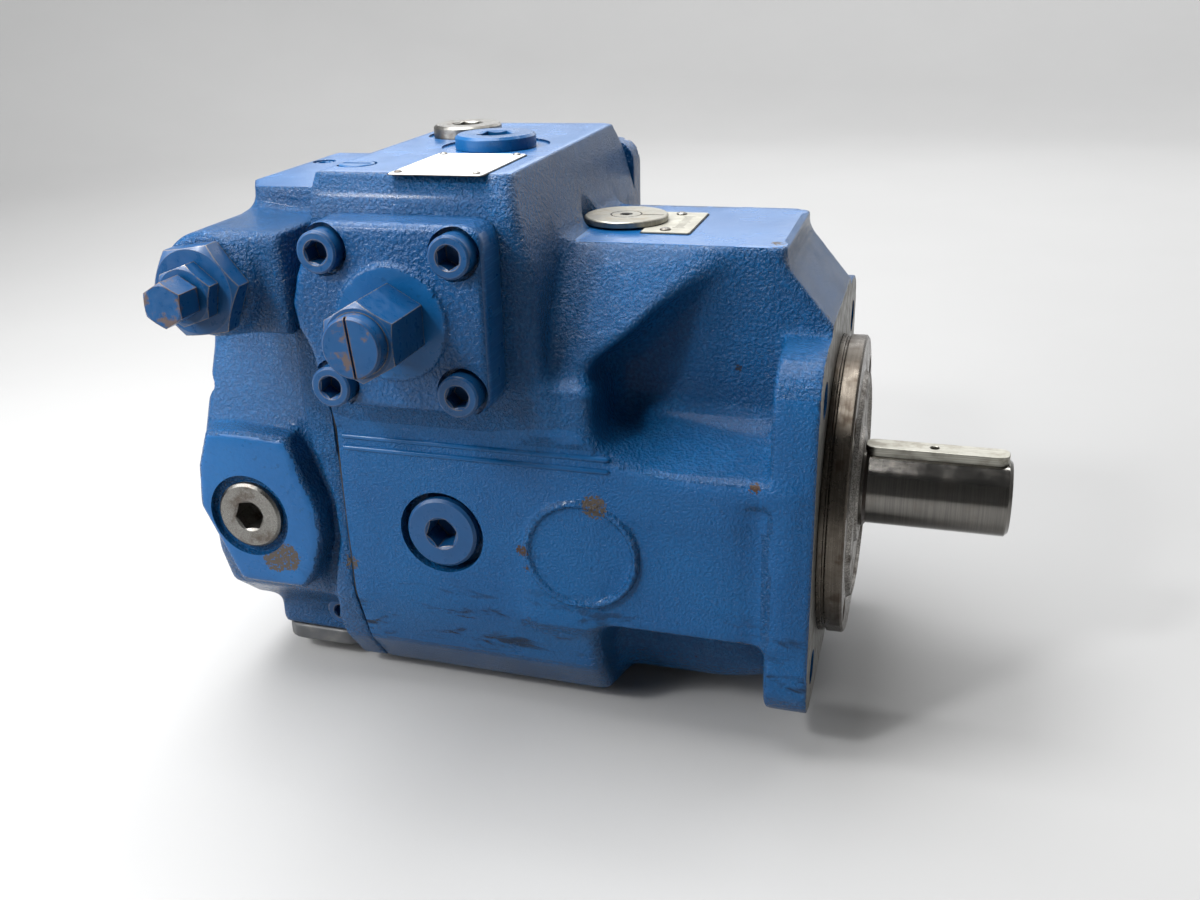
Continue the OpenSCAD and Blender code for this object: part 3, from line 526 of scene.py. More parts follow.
def hexagon(across_flats):
    r = across_flats / math.sqrt(3)
    return [(r * math.cos(math.radians(60 * i)), r * math.sin(math.radians(60 * i))) for i in range(6)]


def rectangle(width, height, corner=0.0, steps=5):
    half_w, half_h = width / 2, height / 2
    points = [(-half_w, -half_h), (half_w, -half_h), (half_w, half_h), (-half_w, half_h)]
    return soften(points, corner, steps, closed=True) if corner else points


def as_mesh(shape, name, matrix=Matrix.Identity(4)):
    """Turns millimetres into a mesh in metres, placed by the matrix."""
    shape.transform(Matrix.Scale(MM, 4) @ matrix)
    made = bpy.data.meshes.new(name)
    shape.to_mesh(made)
    shape.free()
    return made


def combined(name, base, tools, operation="DIFFERENCE"):
    """The base mesh with each tool mesh cut from it, or kept in common."""
    holder = bpy.data.objects.new("work", base)
    bpy.context.scene.collection.objects.link(holder)
    helpers = [holder]
    for tool in tools:
        helper = bpy.data.objects.new("tool", tool)
        bpy.context.scene.collection.objects.link(helper)
        helpers.append(helper)
        cut = holder.modifiers.new("cut", "BOOLEAN")
        cut.solver = "MANIFOLD"
        cut.operation = operation
        cut.object = helper
    bpy.context.view_layer.update()
    evaluated = holder.evaluated_get(bpy.context.evaluated_depsgraph_get())
    made = bpy.data.meshes.new_from_object(evaluated)
    made.name = name
    for helper in helpers:
        bpy.data.objects.remove(helper)
    return made


def piece(name, mesh, finishes, stands_for=(), body="housing", angle=SMOOTH_ANGLE):
    """Puts a mesh in the scene, riding on its body and standing for its CAD nodes."""
    made = bpy.data.objects.new(name, mesh)
    bpy.context.scene.collection.objects.link(made)
    index = np.empty(len(mesh.polygons), np.int32)
    mesh.polygons.foreach_get("material_index", index)
    mesh.materials.clear()
    for finish in finishes:
        mesh.materials.append(finish)
    mesh.polygons.foreach_set("material_index", index if index.max() < len(finishes) else index * 0)
    mesh.shade_smooth()
    mesh.set_sharp_from_angle(angle=angle)
    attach(made, body)
    if stands_for:
        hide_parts(*stands_for)
    return made


def even_shading(made):
    """Keeps flat faces flat next to their rounded edges."""
    made.modifiers.new("even_shading", "WEIGHTED_NORMAL").keep_sharp = True


def part(name, shape, matrix, finish, stands_for=(), body="housing", cuts=(), inside=()):
    """A small piece: one shape, holes cut from it, and shapes that it is trimmed to."""
    mesh = as_mesh(shape, name, matrix)
    if inside:
        mesh = combined(name, mesh, [as_mesh(tool, "tool", matrix) for tool in inside], "INTERSECT")
    if cuts:
        mesh = combined(name, mesh, [as_mesh(tool, "tool", matrix) for tool in cuts])
    made = piece(name, mesh, [finish], stands_for, body)
    even_shading(made)
    return made


def paint_faces(mesh, rules, numbers=None):
    """Gives each face the finish of the first rule that holds, from centres in millimetres and normals.

    A rule's finish is its own number, from 1, unless numbers lists another; 0 is where no rule holds.
    """
    count = len(mesh.polygons)
    centres, normals = np.empty(count * 3), np.empty(count * 3)
    mesh.polygons.foreach_get("center", centres)
    mesh.polygons.foreach_get("normal", normals)
    c, n = centres.reshape(-1, 3).T / MM, normals.reshape(-1, 3).T
    index = np.zeros(count, np.int32)
    for number, rule in reversed(list(enumerate(rules, 1))):
        index[rule(c, n)] = numbers[number] if numbers else number
    mesh.polygons.foreach_set("material_index", index)


def bore(r, low, high, origin, direction, cone=None):
    """A plain round cutter, or a tapered one."""
    shape = turned([(0, low), (r, low), (cone or r, high), (0, high)], 0, 64)
    return as_mesh(shape, "tool", pointing(origin, direction))


def box_tool(low, high):
    """A box-shaped cutter between two opposite corners."""
    (x0, y0, z0), (x1, y1, z1) = low, high
    return as_mesh(prism([(x0, y0), (x1, y0), (x1, y1), (x0, y1)], z0, z1), "tool")


def casting(name, clay, field, tools, rules, finishes, nodes, numbers=None, adaptivity=0.02):
    """A casting with its bores cut and each face given its finish."""
    mesh = combined(name, clay.mesh(name, field, adaptivity), tools)
    paint_faces(mesh, rules, numbers)
    piece(name, mesh, finishes, nodes, angle=CAST_ANGLE)


# ---- Housing ----
REAR_HALF = [(0, -93), (30, -93), (50, -87), (65, -68), (74.5, -40), (76, 0), (76.5, 60)]
FRONT_HALF = [
    (0, -90), (22, -88), (37, -80), (43, -68), (46, -56), (53, -47), (74.5, -40), (75.6, 28.5), (58, 34),
    (45, 42), (38, 52), (38, 66)
]
BULGE_HALF = [(30, 118), (37.5, 109.4), (63, 79), (67, 70), (69, 58), (76, 40), (76, 10), (30, 10)]
POCKET_SIDE = [
    (-34, 150), (-50, 102), (-58, 92.5), (-71, 79.5), (-85, 68.5), (-92.5, 57), (-92, 47), (-84, 35), (-68, 22),
    (-60, 5), (60, 5), (60, 150)
]
POCKET_FLOOR = [(38, 220), (38, 46), (44, 39.5), (51, 35.5), (60, 32.4), (76, 28.8), (110, 21), (110, 220)]
BLOCK_SIDE = [(-200, 42), (-200, 146), (-114.8, 146), (-104, 106), (-101, 60), (-101, 42)]
TOWER_SIDE = [(-116, 40), (-116, 114), (-28.5, 114), (3, 75.2), (3, 40)]


def housing_field(clay):
    """The barrel, the bulge with its pocket, the tower and block on top, and the mounting flange."""
    x, y, z = clay.x, clay.y, clay.z
    rear = clay.along_x(mirrored(REAR_HALF), -200, -84, 5)
    front = clay.along_x(mirrored(FRONT_HALF), -110, -6, 2)
    front = soft_max(front, (-z - 93 + 0.37 * (x + 62)) * 0.94, 6)
    upper = soft_min(front, clay.along_x(mirrored(BULGE_HALF), -108, -18, 3), 4)
    # The pocket is where its outline from the side and its outline from the end overlap.
    pocket_plan = outline_distance(x, z, POCKET_SIDE)
    pocket_section = outline_distance(np.abs(y), z, POCKET_FLOOR)
    pocket = soft_max(pocket_plan, pocket_section, 20)
    upper = soft_max(upper, -pocket, 5)
    tower = clay.blur(clay.along_y(TOWER_SIDE, -TOWER_Y, TOWER_Y), 1)
    body = soft_min(clay.blur(soft_min(rear, upper, 9), 2), tower, 2.5)
    body = np.maximum(body, z - TOWER_TOP)
    block = clay.along_y(BLOCK_SIDE, -BLOCK_Y, BLOCK_Y, 5)
    # The block's long upper edges slope, and its sides draw in downwards to meet the barrel.
    edge_slope = (np.abs(y) - BLOCK_Y) * 0.80 + (z - 128.5) * 0.60
    block = soft_max(block, edge_slope, 5)
    under = (np.abs(y) - 77.5) * 0.94 - (z - 42) * 0.34
    body = soft_min(body, clay.blur(soft_max(block, under, 6), 2), 7)
    body = np.maximum(body, (np.abs(y) - SIDE_Y) - np.maximum(z - 36, 0) * 0.5)
    flange = clay.along_x(rectangle(2 * FLANGE_HALF, 2 * FLANGE_HALF, FLANGE_CORNER), -FLANGE_T, 6, 1.6)
    body = soft_min(body, clay.blur(flange, 1), 5)
    # An upright groove behind the flange on each side, and a plain raised ring on both sides.
    groove = clay.across(np.hypot(x + 21.5, np.abs(y) - 81.5) - 7.4, z, -42, 20, 4)
    body = soft_max(body, -groove, 3)
    ring = np.abs(np.hypot(x - EMBLEM[0], z - EMBLEM[1]) - EMBLEM_R) - 1.3
    ring = clay.across(ring, np.abs(y), 70, 77.6, 0.6)
    body = soft_min(body, ring, 1.0)
    body = np.maximum(body, z - BLOCK_TOP)
    body = np.maximum(body, x)
    return np.maximum(body, JOINT_X - x)


def cover_corners(y):
    """The four screw places of the near cover."""
    return [(STROKE_X + x * COVER_PITCH / 2, y, STROKE_Z + z * COVER_PITCH / 2) for x, z in CORNERS]


def chamber_tools():
    """The chambers, bores and seats that are cut in the housing."""
    large, small = (*TOP_LARGE, BLOCK_TOP), (*TOP_SMALL, BLOCK_TOP)
    side = (SIDE_PLUG[0], -SIDE_Y + 2, SIDE_PLUG[1])
    tools = [
        bore(57, JOINT_X - 1, -98, AXIS, FRONT), bore(52, -98.5, -60, AXIS, FRONT),
        box_tool((-96, -44, -38), (-40, 44, 38)), box_tool((STROKE_X - 13, -34, 40), (-62, 16, 62)),
        box_tool((STROKE_X - 9, -27, 50), (STROKE_X + 9, 10, 84)),
        bore(30, -41, -35, AXIS, FRONT), bore(36, -36, -13.5, AXIS, FRONT),
        bore(52, -14, -1.5, AXIS, FRONT), bore(62.6, -2, 1, AXIS, FRONT),
        bore(20.1, -90, 90, (STROKE_X, 0, STROKE_Z), FAR),
        bore(8, 55, 103, (SWIVEL_X, 0, 0), UP), bore(5.1, 102, 109, (SWIVEL_X, 0, 0), UP),
        bore(18.6, TOWER_TOP, TOWER_TOP + 18, (SWIVEL_X, 0, 0), UP),
        bore(22.8, -0.8, 2, large, UP), bore(13.7, -18, 1, large, UP),
        bore(17.6, -0.8, 2, small, UP), bore(11.2, -16, 1, small, UP),
        bore(SLOTTED_R + 0.15, -9, 2, (*SLOTTED, BLOCK_TOP), UP, SLOTTED_R + 0.9),
        bore(18.2, -8, 4, side, NEAR), bore(11.3, -12, 4, side, NEAR),
    ]
    for (side_y, side_z), screw in zip(CORNERS, cover_corners(-BLOCK_Y)):
        tools.append(bore(7, -40, 2, (0, side_y * FLANGE_BOLT, side_z * FLANGE_BOLT), FRONT))
        tools.append(bore(5.2, -18, 2, screw, NEAR))
    return tools


def flat_face(axis, level, tolerance=0.25):
    """Rule: faces that lie in one plane across an axis."""
    return lambda c, n: (np.abs(c[axis] - level) < tolerance) & (np.abs(n[axis]) > 0.98)


def in_chamber(c, n):
    """Rule: the machined walls of the round chamber inside."""
    inner = np.hypot(c[1], c[2]) < 57.2
    return inner & (c[0] > JOINT_X + 1) & (c[2] < 64) & (np.abs(n[1]) < 0.99)


def on_side(c, n):
    """Rule: the upright sides of the barrel and the flange."""
    upright = (np.abs(n[1]) > 0.93) & (np.abs(c[1]) > 60)
    return upright & ((c[2] < 44) | (c[0] > -FLANGE_T))


def build_housing():
    clay = Clay((-196, -86, -98), (4, 86, 144), 1.2)
    # The flat tops take the machined paint whose lighter blue is partly painted reflection.
    rules = [
        flat_face(2, TOWER_TOP), flat_face(2, BLOCK_TOP), flat_face(2, BLOCK_TOP - 0.8, 0.1), on_side,
        in_chamber, flat_face(0, 0.0)
    ]
    casting("housing_casting", clay, housing_field(clay), chamber_tools(), rules,
            (paint_cast, paint_flat_sheen, paint_side, steel_face), ["pump_housing"], (0, 1, 1, 1, 2, 3, 3))


def build_casting_lines():
    """Two thin raised lines along each side of the housing."""
    lines = bmesh.new()
    for y in (-SIDE_Y, SIDE_Y):
        for z in (28.5, 33.5):
            line = turned([(0, -190), (1.1, -189), (1.1, -78), (0, -76)], 0, 16)
            lines.from_mesh(as_mesh(line, "line", pointing((0, y * 0.998, z), FRONT)))
    mesh = bpy.data.meshes.new("casting_lines")
    lines.to_mesh(mesh)
    piece("casting_lines", mesh, (paint_part,))


# ---- Port plate ----
PLATE_HALF = [
    (0, -93), (28, -93), (50, -87), (63, -70), (74, -42), (75.3, 0), (76, 30), (77.5, 48), (77.5, 82)
]
BODY_HALF = [(0, -72), (24, -72), (50, -62), (66, -48), (72, -30), (73, 14), (70, 26), (54, 62), (50, 84)]
BOSS_SIDE = [
    (-254, 31), (-240, 32), (-213, 30.5), (-209.5, 18), (-202, -3), (-201.5, -14), (-206, -29), (-214, -40),
    (-246, -40), (-256, -18), (-262, -5), (-260, 14)
]
GROOVE_SIDE = [
    (-214, 40), (-206.5, 40), (-204, 22), (-198, 2), (-197.4, -16), (-202, -36), (-205, -56), (-213, -56),
    (-207.5, -32), (-203, -16), (-203, -2), (-209.5, 17), (-213.5, 29)
]
PLATE_TOP, CAP_TOP = 78.0, -78.0
PLATE_FRONT, CONTROL_FRONT = -192.8, -192.3


def port_field(clay):
    """The port plate: joint flange, body, suction boss and the two side bosses with a groove behind."""
    x, y, z = clay.x, clay.y, clay.z
    flange = clay.along_x(mirrored(PLATE_HALF), -206, -180, 1.5)
    waist = clay.across(np.abs(z + 9) - 31, np.abs(y), 74.1, 90, 0.6)
    flange = soft_max(flange, -waist, 1.5)
    body = clay.along_x(mirrored(BODY_HALF), -262, -190, 6)
    body = soft_min(body, flange, 4)
    suction = clay.along_z([(-246, -50), (-207, -50), (-190, -50), (-190, 50), (-246, 50)], -78, -50, 3)
    body = soft_min(body, suction, 4)
    boss = soft_min(clay.along_y(BOSS_SIDE, -79, -40, 3), clay.along_y(BOSS_SIDE, 40, 79, 3), 1)
    body = clay.blur(soft_min(body, boss, 2.5), 1)
    groove = clay.across(outline_distance(x, z, GROOVE_SIDE), np.abs(y), 67, 100, 1.5)
    body = soft_max(body, -groove, 3)
    body = np.maximum(body, z - PLATE_TOP)
    above_cap = np.maximum(body, CAP_TOP - z)
    body = np.where(x > -207.5, body, above_cap)
    return np.maximum(body, x - PLATE_FRONT)


def build_port_plate():
    clay = Clay((-266, -84, -98), (-188, 84, 82), 1.35)
    plug_x, plug_z = PORT_PLUG
    plug = (plug_x, -79, plug_z)
    tools = [
        bore(26, -218, -190, AXIS, FRONT), bore(20, -80, -36, (SUCTION_X, 0, 0), UP),
        bore(18.8, -3.2, 3, plug, NEAR), bore(11, -40, 0, plug, NEAR),
        bore(10, 30, 81, (plug_x, 0, plug_z), FAR), bore(5.1, -10, 9, LOWER_PLUG, NEAR),
    ]
    for side in (-1, 1):
        tools += [bore(9.6, -263, PORT_SEAT, (0, side * y, z), FRONT) for y, z in PORT_SCREWS]
        bolts = [(plug_x + side * 11.9, 79, plug_z + up * 25.4) for up in (-1, 1)]
        tools += [bore(4.25, -20, 2, bolt, FAR) for bolt in bolts]
    rules = [flat_face(2, PLATE_TOP, 0.3), lambda c, n: (np.abs(n[1]) > 0.9) & (np.abs(c[1]) > 77.5)]
    casting("port_casting", clay, port_field(clay), tools, rules, (paint_cast, paint_flat_sheen, paint_port),
            ["port_plate"])
    seam = [(u * 0.985, min(v * 0.985, 76)) for u, v in mirrored(PLATE_HALF)]
    part("port_gasket", prism(seam, 0, 0.9), pointing((-192.9, 0, 0), FRONT), gasket,
         ["port_plate_gasket"], cuts=[rod(58, -2, 3)])


# ---- Pressure controller ----
def control_field(clay):
    """The pressure controller's block, with the round boss that carries the adjuster."""
    x, z = clay.x, clay.z
    plan = [(-180, -58), (-227, -58), (-236, -43), (-236, 30), (-180, 30)]
    block = clay.along_z(plan, PLATE_TOP, CONTROL_TOP + 8, 3)
    boss = clay.round_y(BOSS_R, BOSS_NEAR, -40, CONTROL_X, CONTROL_Z, 3.5)
    arm = clay.along_y([(CONTROL_X, 80.5), (-196, 80.5), (-196, 120.5), (CONTROL_X, 120.5)], -95, -50, 4)
    body = clay.blur(soft_min(soft_min(block, boss, 7), arm, 5), 1)
    body = np.maximum(body, z - CONTROL_TOP)
    body = np.maximum(body, PLATE_TOP - z)
    return np.maximum(body, x - CONTROL_FRONT)


def build_controller():
    clay = Clay((-250, -106, 74), (-188, 36, 135), 1.1)
    axis = (CONTROL_X, 0, CONTROL_Z)
    tools = [
        bore(12, 48, 102, axis, NEAR), bore(5.1, -23, 49, axis, NEAR), bore(8, 21.5, 31, axis, FAR),
        bore(5.2, -6, 1, (*VALVE_PLUG, CONTROL_TOP), UP)
    ]
    tools += [bore(5.6, -237, CONTROL_SEAT, (0, y, z), FRONT) for y, z in CONTROL_SCREWS]
    casting("control_casting", clay, control_field(clay), tools, [flat_face(2, CONTROL_TOP)],
            (paint_cast, paint_flat_sheen), ["control_valve_housing"])


# ---- Covers of the stroking cylinder ----
COVER_LOBE = [
    (-180, 116), (-186.5, 112), (-190.5, 105), (-193.5, 94), (-192, 84), (-186, 75), (-180, 68), (-165, 90)
]


def far_corners(y):
    """The four screw places of the far cover."""
    reach_x, reach_z = 32, 29
    return [(FAR_COVER_X + x * reach_x, y, FAR_COVER_Z + z * reach_z) for x, z in CORNERS]


def near_cover_field(clay):
    """A square cover with a lobe towards the rear and a round pad for the lock nut."""
    x, y, z = clay.x, clay.y, clay.z
    square = rectangle(COVER_SIDE, COVER_SIDE, 9.5)
    square = [(u + COVER_X, v + COVER_Z) for u, v in square]
    plan = soft_min(outline_distance(x, z, square), outline_distance(x, z, COVER_LOBE), 5)
    plate = clay.across(plan, y, -BLOCK_Y - COVER_T, -BLOCK_Y + 8, 3.6)
    pad = clay.round_y(22, PAD_Y, -BLOCK_Y, STROKE_X, COVER_Z - 1, 0.8)
    body = soft_min(plate, pad, 1.5)
    return np.maximum(body, y + BLOCK_Y)


def build_near_cover():
    clay = Clay((-198, -102, 50), (-111, -76, 130), 0.85)
    tools = [bore(11.3, -12, 24, (STROKE_X, -BLOCK_Y, STROKE_Z), NEAR)]
    for place in cover_corners(-BLOCK_Y):
        tools += [bore(9.7, COVER_T - 4.6, 26, place, NEAR, 9.9), bore(5.2, -2, 26, place, NEAR)]
    rules = [
        lambda c, n: (np.hypot(c[0] - STROKE_X, c[2] - COVER_Z + 1) < 21) & (n[1] < -0.95),
        lambda c, n: (n[0] > 0.8) & (c[0] > COVER_X),
    ]
    casting("near_cover", clay, near_cover_field(clay), tools, rules,
            (paint_cover, paint_part, paint_scratched), ["stroke_cover_near"], adaptivity=0.01)


def build_far_cover():
    clay = Clay((-194, 76, 48), (-102, 99, 134), 1.2)
    outline = [(u + FAR_COVER_X, v + FAR_COVER_Z) for u, v in rectangle(84, 78, 12)]
    plate = clay.across(outline_distance(clay.x, clay.z, outline), clay.y, 70, BLOCK_Y + 16, 4)
    plate = np.maximum(plate, BLOCK_Y - clay.y)
    tools = []
    for place in far_corners(BLOCK_Y):
        tools += [bore(9.7, 8, 20, place, FAR), bore(5.2, -1, 20, place, FAR)]
    casting("far_cover", clay, plate, tools, [], (paint_cover,), ["stroke_cover_far"], adaptivity=0.01)


# ---- Screws, plugs and turned pieces ----
def socket_cuts(across, top, floor, depth):
    """A hexagon socket with its turned lead, in a head whose end is at top."""
    lead = [(0, top - depth), (across * 0.50, top - depth), (across * 0.66, top + 0.5), (0, top + 0.5)]
    return [prism(hexagon(across), floor, top + 2), turned(lead, 0, 48)]


def cap_screws(name, places, direction, sizes, node):
    """One blue socket-head screw for each place; every one is a piece of its own."""
    shank_r, head_r, head_h, socket, shank = sizes
    turn_step = 23
    profile = [
        (0, -shank), (shank_r - 0.5, -shank), (shank_r, -shank + 0.6), (shank_r, 0), (head_r, 0),
        (head_r, head_h - 0.7), (head_r - 0.8, head_h), (0, head_h)
    ]
    for number, place in enumerate(places, 1):
        part(f"{name}_{number}", turned(profile, 0.35), pointing(place, direction, turn_step * number),
             paint_worn, [node], cuts=socket_cuts(socket, head_h, head_h * 0.12, 0.9))


def socket_plug(name, place, direction, sizes, finish, node, turn=0.0):
    """Screw plug with a chamfered collar and a hexagon socket."""
    collar_r, collar_h, stem_r, stem, socket = sizes
    profile = [
        (0, -stem), (stem_r - 0.8, -stem), (stem_r, -stem + 1), (stem_r, 0), (collar_r - 0.2, 0),
        (collar_r, 0.4), (collar_r, collar_h - 1.1), (collar_r - 1.2, collar_h), (0, collar_h)
    ]
    part(name, turned(profile, 0.45, 96), pointing(place, direction, turn), finish, [node],
         cuts=socket_cuts(socket, collar_h, max(collar_h - socket, 1 - stem), 0.8))


def hex_piece(name, across, low, high, place, turn, finish, node, body="housing", hole=0.0, crown=0.9):
    """Hexagon on the near side, whose corners are turned off at the outer end."""
    outer = across / math.sqrt(3)
    trim = turned([(0, low - 1), (outer + 1, low - 1), (outer + 1, high - (outer - across / 2) * crown),
                   (across / 2 * 0.98, high + 0.02), (0, high + 0.02)], 0.3, 96)
    cuts = [rod(hole, low - 2, high + 2, 64)] if hole else []
    part(name, prism(hexagon(across), low, high), pointing(place, NEAR, turn), finish,
         [node], body, cuts, [trim])


def build_fasteners():
    cap_screws("cover_screw", cover_corners(-BLOCK_Y - COVER_T + 4.5), NEAR, (5, 8, 9.4, 8, 28),
               "near_cover_screws")
    cap_screws("far_screw", far_corners(BLOCK_Y + 8), FAR, (5, 8, 9.8, 8, 24), "far_cover_screws")
    cap_screws("control_screw", [(CONTROL_SEAT, y, z) for y, z in CONTROL_SCREWS], REAR, (3, 5, 6, 5, 50),
               "control_valve_screws")
    port_screws = [(PORT_SEAT, side * y, z) for side in (-1, 1) for y, z in PORT_SCREWS]
    cap_screws("port_screw", port_screws, REAR, (6, 9, 12, 10, 44), "port_plate_screws")
    top = BLOCK_TOP - 0.8
    socket_plug("top_plug_large", (*TOP_LARGE, top), UP, (17, 5.8, 13.5, 15, 14), paint_part,
                "top_plug_large", 15)
    socket_plug("top_plug_small", (*TOP_SMALL, top), UP, (15.2, 5.8, 11, 13, 12), steel_plated,
                "top_plug_small", 5)
    socket_plug("side_plug", (SIDE_PLUG[0], -72, SIDE_PLUG[1]), NEAR, (15.2, 4.2, 11, 8.8, 12), paint_worn,
                "side_plug", 12)
    socket_plug("port_plug", (PORT_PLUG[0], -76, PORT_PLUG[1]), NEAR, (15, 3.2, 10.8, 12, 12), steel_plated,
                "rear_port_plug", 8)
    socket_plug("lower_plug", LOWER_PLUG, NEAR, (7, 1.6, 4.8, 8, 6), paint_worn, "lower_plug")
    socket_plug("valve_plug", (*VALVE_PLUG, CONTROL_TOP - 1.6), UP, (5, 1.2, 4.8, 3.9, 5), paint_part,
                "valve_body_plug")
    side = SLOTTED_R - 0.1
    screw = turned([(0, -9), (side, -9), (side, 0.1), (SLOTTED_R - 0.9, 0.4), (0, 0.4)], 0.3)
    part("slotted_plug", screw, pointing((*SLOTTED, BLOCK_TOP), UP), paint_part,
         ["slotted_plug"], cuts=[prism(rectangle(12, 1.8), -1.4, 3)])


def build_limiter():
    """Stroke limiter: slotted stud, and the lock nut against the cover's pad."""
    place = (STROKE_X, PAD_Y, STROKE_Z)
    hex_piece("limiter_nut", 26, 0, 26, place, 30, paint_worn, "limiter_lock_nut", hole=11.3)
    stud = turned([(0, 64.5), (10.5, 64.5), (11.2, 65.5), (11.2, 129), (10.4, 130), (0, 130)], 0.3, 96)
    part("limiter_stud", stud, pointing((STROKE_X, 0, STROKE_Z), NEAR, 6), paint_rubbed,
         ["stroke_limiter_screw"], "limiter", cuts=[prism(rectangle(0.9, 40), 128.6, 132)])


def build_adjuster():
    """Pressure adjuster: hexagon plug, lock nut and hexagon-headed screw, one outside the other."""
    place = (CONTROL_X, BOSS_NEAR, CONTROL_Z)
    hex_piece("adjuster_plug", 33, 0, 8.6, place, 8, paint_worn, "adjuster_plug", hole=5.1)
    hex_piece("adjuster_nut", 21, 8.6, 15.2, place, 20, paint_worn, "adjuster_lock_nut", hole=5.1)
    hex_piece("adjuster_head", 15, 16.5, 28, place, 30, paint_rubbed, "adjusting_screw", "adjuster",
              crown=0.8)
    part("adjuster_stem", turned([(0, -19), (4.9, -19), (4.9, 16.6), (0, 16.6)], 0.2), pointing(place, NEAR),
         paint_worn, body="adjuster")


def build_pilot():
    """Pilot ring with its screws, and the seal carrier inside it."""
    start = pointing(AXIS, FRONT)
    sinks = []
    for number, (side, up) in enumerate(CORNERS, 1):
        y, z = side * PILOT_SCREW, up * PILOT_SCREW
        sink = turned([(0, -13), (2.8, -13), (2.8, 7.2), (5.4, 10.2), (0, 10.2)], 0, 32)
        sink.transform(Matrix.Translation((y, z, 0)))
        sinks.append(sink)
        screw = turned([(0, -11), (2.5, -11), (2.5, 7), (5, 9.4), (0, 9.4)], 0.2, 32)
        part(f"pilot_screw_{number}", screw, pointing((0, y, z), FRONT), steel_black,
             ["pilot_cover_screws"], cuts=[prism(hexagon(3), 7, 11)])
    ring = [
        (41, -11.9), (51.9, -11.9), (51.9, -1.9), (57.9, -1.9), (57.9, 0.05), (62.5, 0.05), (62.5, 2.0),
        (61.5, 2.15), (61.5, 3.1), (62.5, 3.25), (62.5, 9.2), (61.6, 10), (48.9, 10), (48.3, 9.4), (48.3, 2.1),
        (41, 2.1)
    ]
    part("pilot_ring", turned(ring, 0.3, 192, ring=True), start, steel_ring, ["pilot_cover"],
         cuts=sinks)
    carrier = [
        (27.5, 4), (27.5, -13.9), (40.9, -13.9), (40.9, 2.2), (47.9, 2.2), (47.9, 9.6), (46.6, 11.6),
        (43.6, 12), (42.8, 10.6), (24.5, 10.6), (23.6, 12), (20.6, 12), (20.0, 11.4), (20, 4)
    ]
    part("seal_carrier", turned(carrier, 0.4, 128, ring=True), start, steel_carrier,
         ["seal_carrier"])


def build_shaft():
    """Drive shaft with its dark seal track, and the round-ended key in its keyway."""
    profile = [
        (0, -218), (12.4, -218), (12.5, -192.5), (15, -192.5), (15, -84), (16, -84), (16, -41), (19.5, -41),
        (19.5, -37.2), (17.5, -37.2), (17.5, 13.2), (16.9, 13.7), (16, 14.4), (16, 68.5), (14.5, 70), (6.6, 70),
        (4.25, 67.8), (4.25, 48), (0, 48)
    ]
    key_x, key_r, key_len, seat = 12.5, 5.0, 56.0, 11.0
    middle = Matrix.Translation((key_x + key_len / 2, 0, 0))
    keyway = as_mesh(prism(rectangle(key_len, 2 * key_r, key_r, 8), seat, 20), "tool", middle)
    mesh = as_mesh(turned(profile, 0.25, 128), "drive_shaft", pointing(AXIS, FRONT))
    mesh = combined("drive_shaft", mesh, [keyway])
    paint_faces(mesh, [lambda c, n: (c[0] > 10.8) & (c[0] < 14.6)])
    finishes = (steel_shaft, steel_collar)
    even_shading(piece("drive_shaft", mesh, finishes, ["drive_shaft"], "rotor"))
    key = prism(rectangle(key_len - 0.1, 2 * key_r - 0.1, key_r - 0.05, 8), seat + 0.05, seat + 8, 0.35)
    above = seat + 8.2
    hole = turned([(0, seat - 1), (1.7, seat - 1), (1.7, seat + 7.6), (2.2, above), (0, above)], 0, 32)
    mark = [(1.7, seat + 7.97), (3.5, seat + 7.97), (3.5, above), (1.7, above)]
    mark = turned(mark, 0, 48, ring=True)
    for cutter in (hole, mark):
        cutter.transform(Matrix.Translation((-1, 0, 0)))
    part("shaft_key", key, middle, steel_key, ["shaft_key"], "rotor", cuts=[hole, mark])


def build_indicator():
    """Swivel angle indicator: disc with its line, and the hexagon screw in its middle."""
    low, high = TOWER_TOP + 0.8, TOWER_TOP + 3.4
    groove_floor, above = high - 0.35, high + 1
    place = pointing((SWIVEL_X, 0, 0), UP)
    disc = [(0, low), (17.0, low), (17.3, low + 0.3), (17.3, high - 0.5), (16.8, high), (0, high)]
    line = prism(rectangle(9.6, 0.9), groove_floor, above)
    line.transform(Matrix.Translation((11.2, 0, 0)))
    groove = [(6.1, groove_floor), (6.6, groove_floor), (6.6, above), (6.1, above)]
    cutters = (line, turned(groove, 0, 64, ring=True), rod(2.6, low - 1, above, 48))
    mesh = as_mesh(turned(disc, 0.25, 128), "indicator_disc", place)
    mesh = combined("indicator_disc", mesh, [as_mesh(cutter, "tool", place) for cutter in cutters])

    def in_groove(c, n):
        return (c[2] > low + 0.6) & (c[2] < high - 0.1) & (np.hypot(c[0] - SWIVEL_X, c[1]) < 16.2)

    paint_faces(mesh, [in_groove])
    finishes = (steel_disc, gasket)
    even_shading(piece("indicator_disc", mesh, finishes, ["indicator_disc"], "swash"))
    screw = turned([(0, low), (2.5, low), (2.5, high - 0.4), (2.2, high - 0.2), (0, high - 0.2)], 0.1, 48)
    part("indicator_screw", screw, place, steel_black, ["indicator_screw"], "swash",
         cuts=[prism(hexagon(3), high - 1.8, above)])


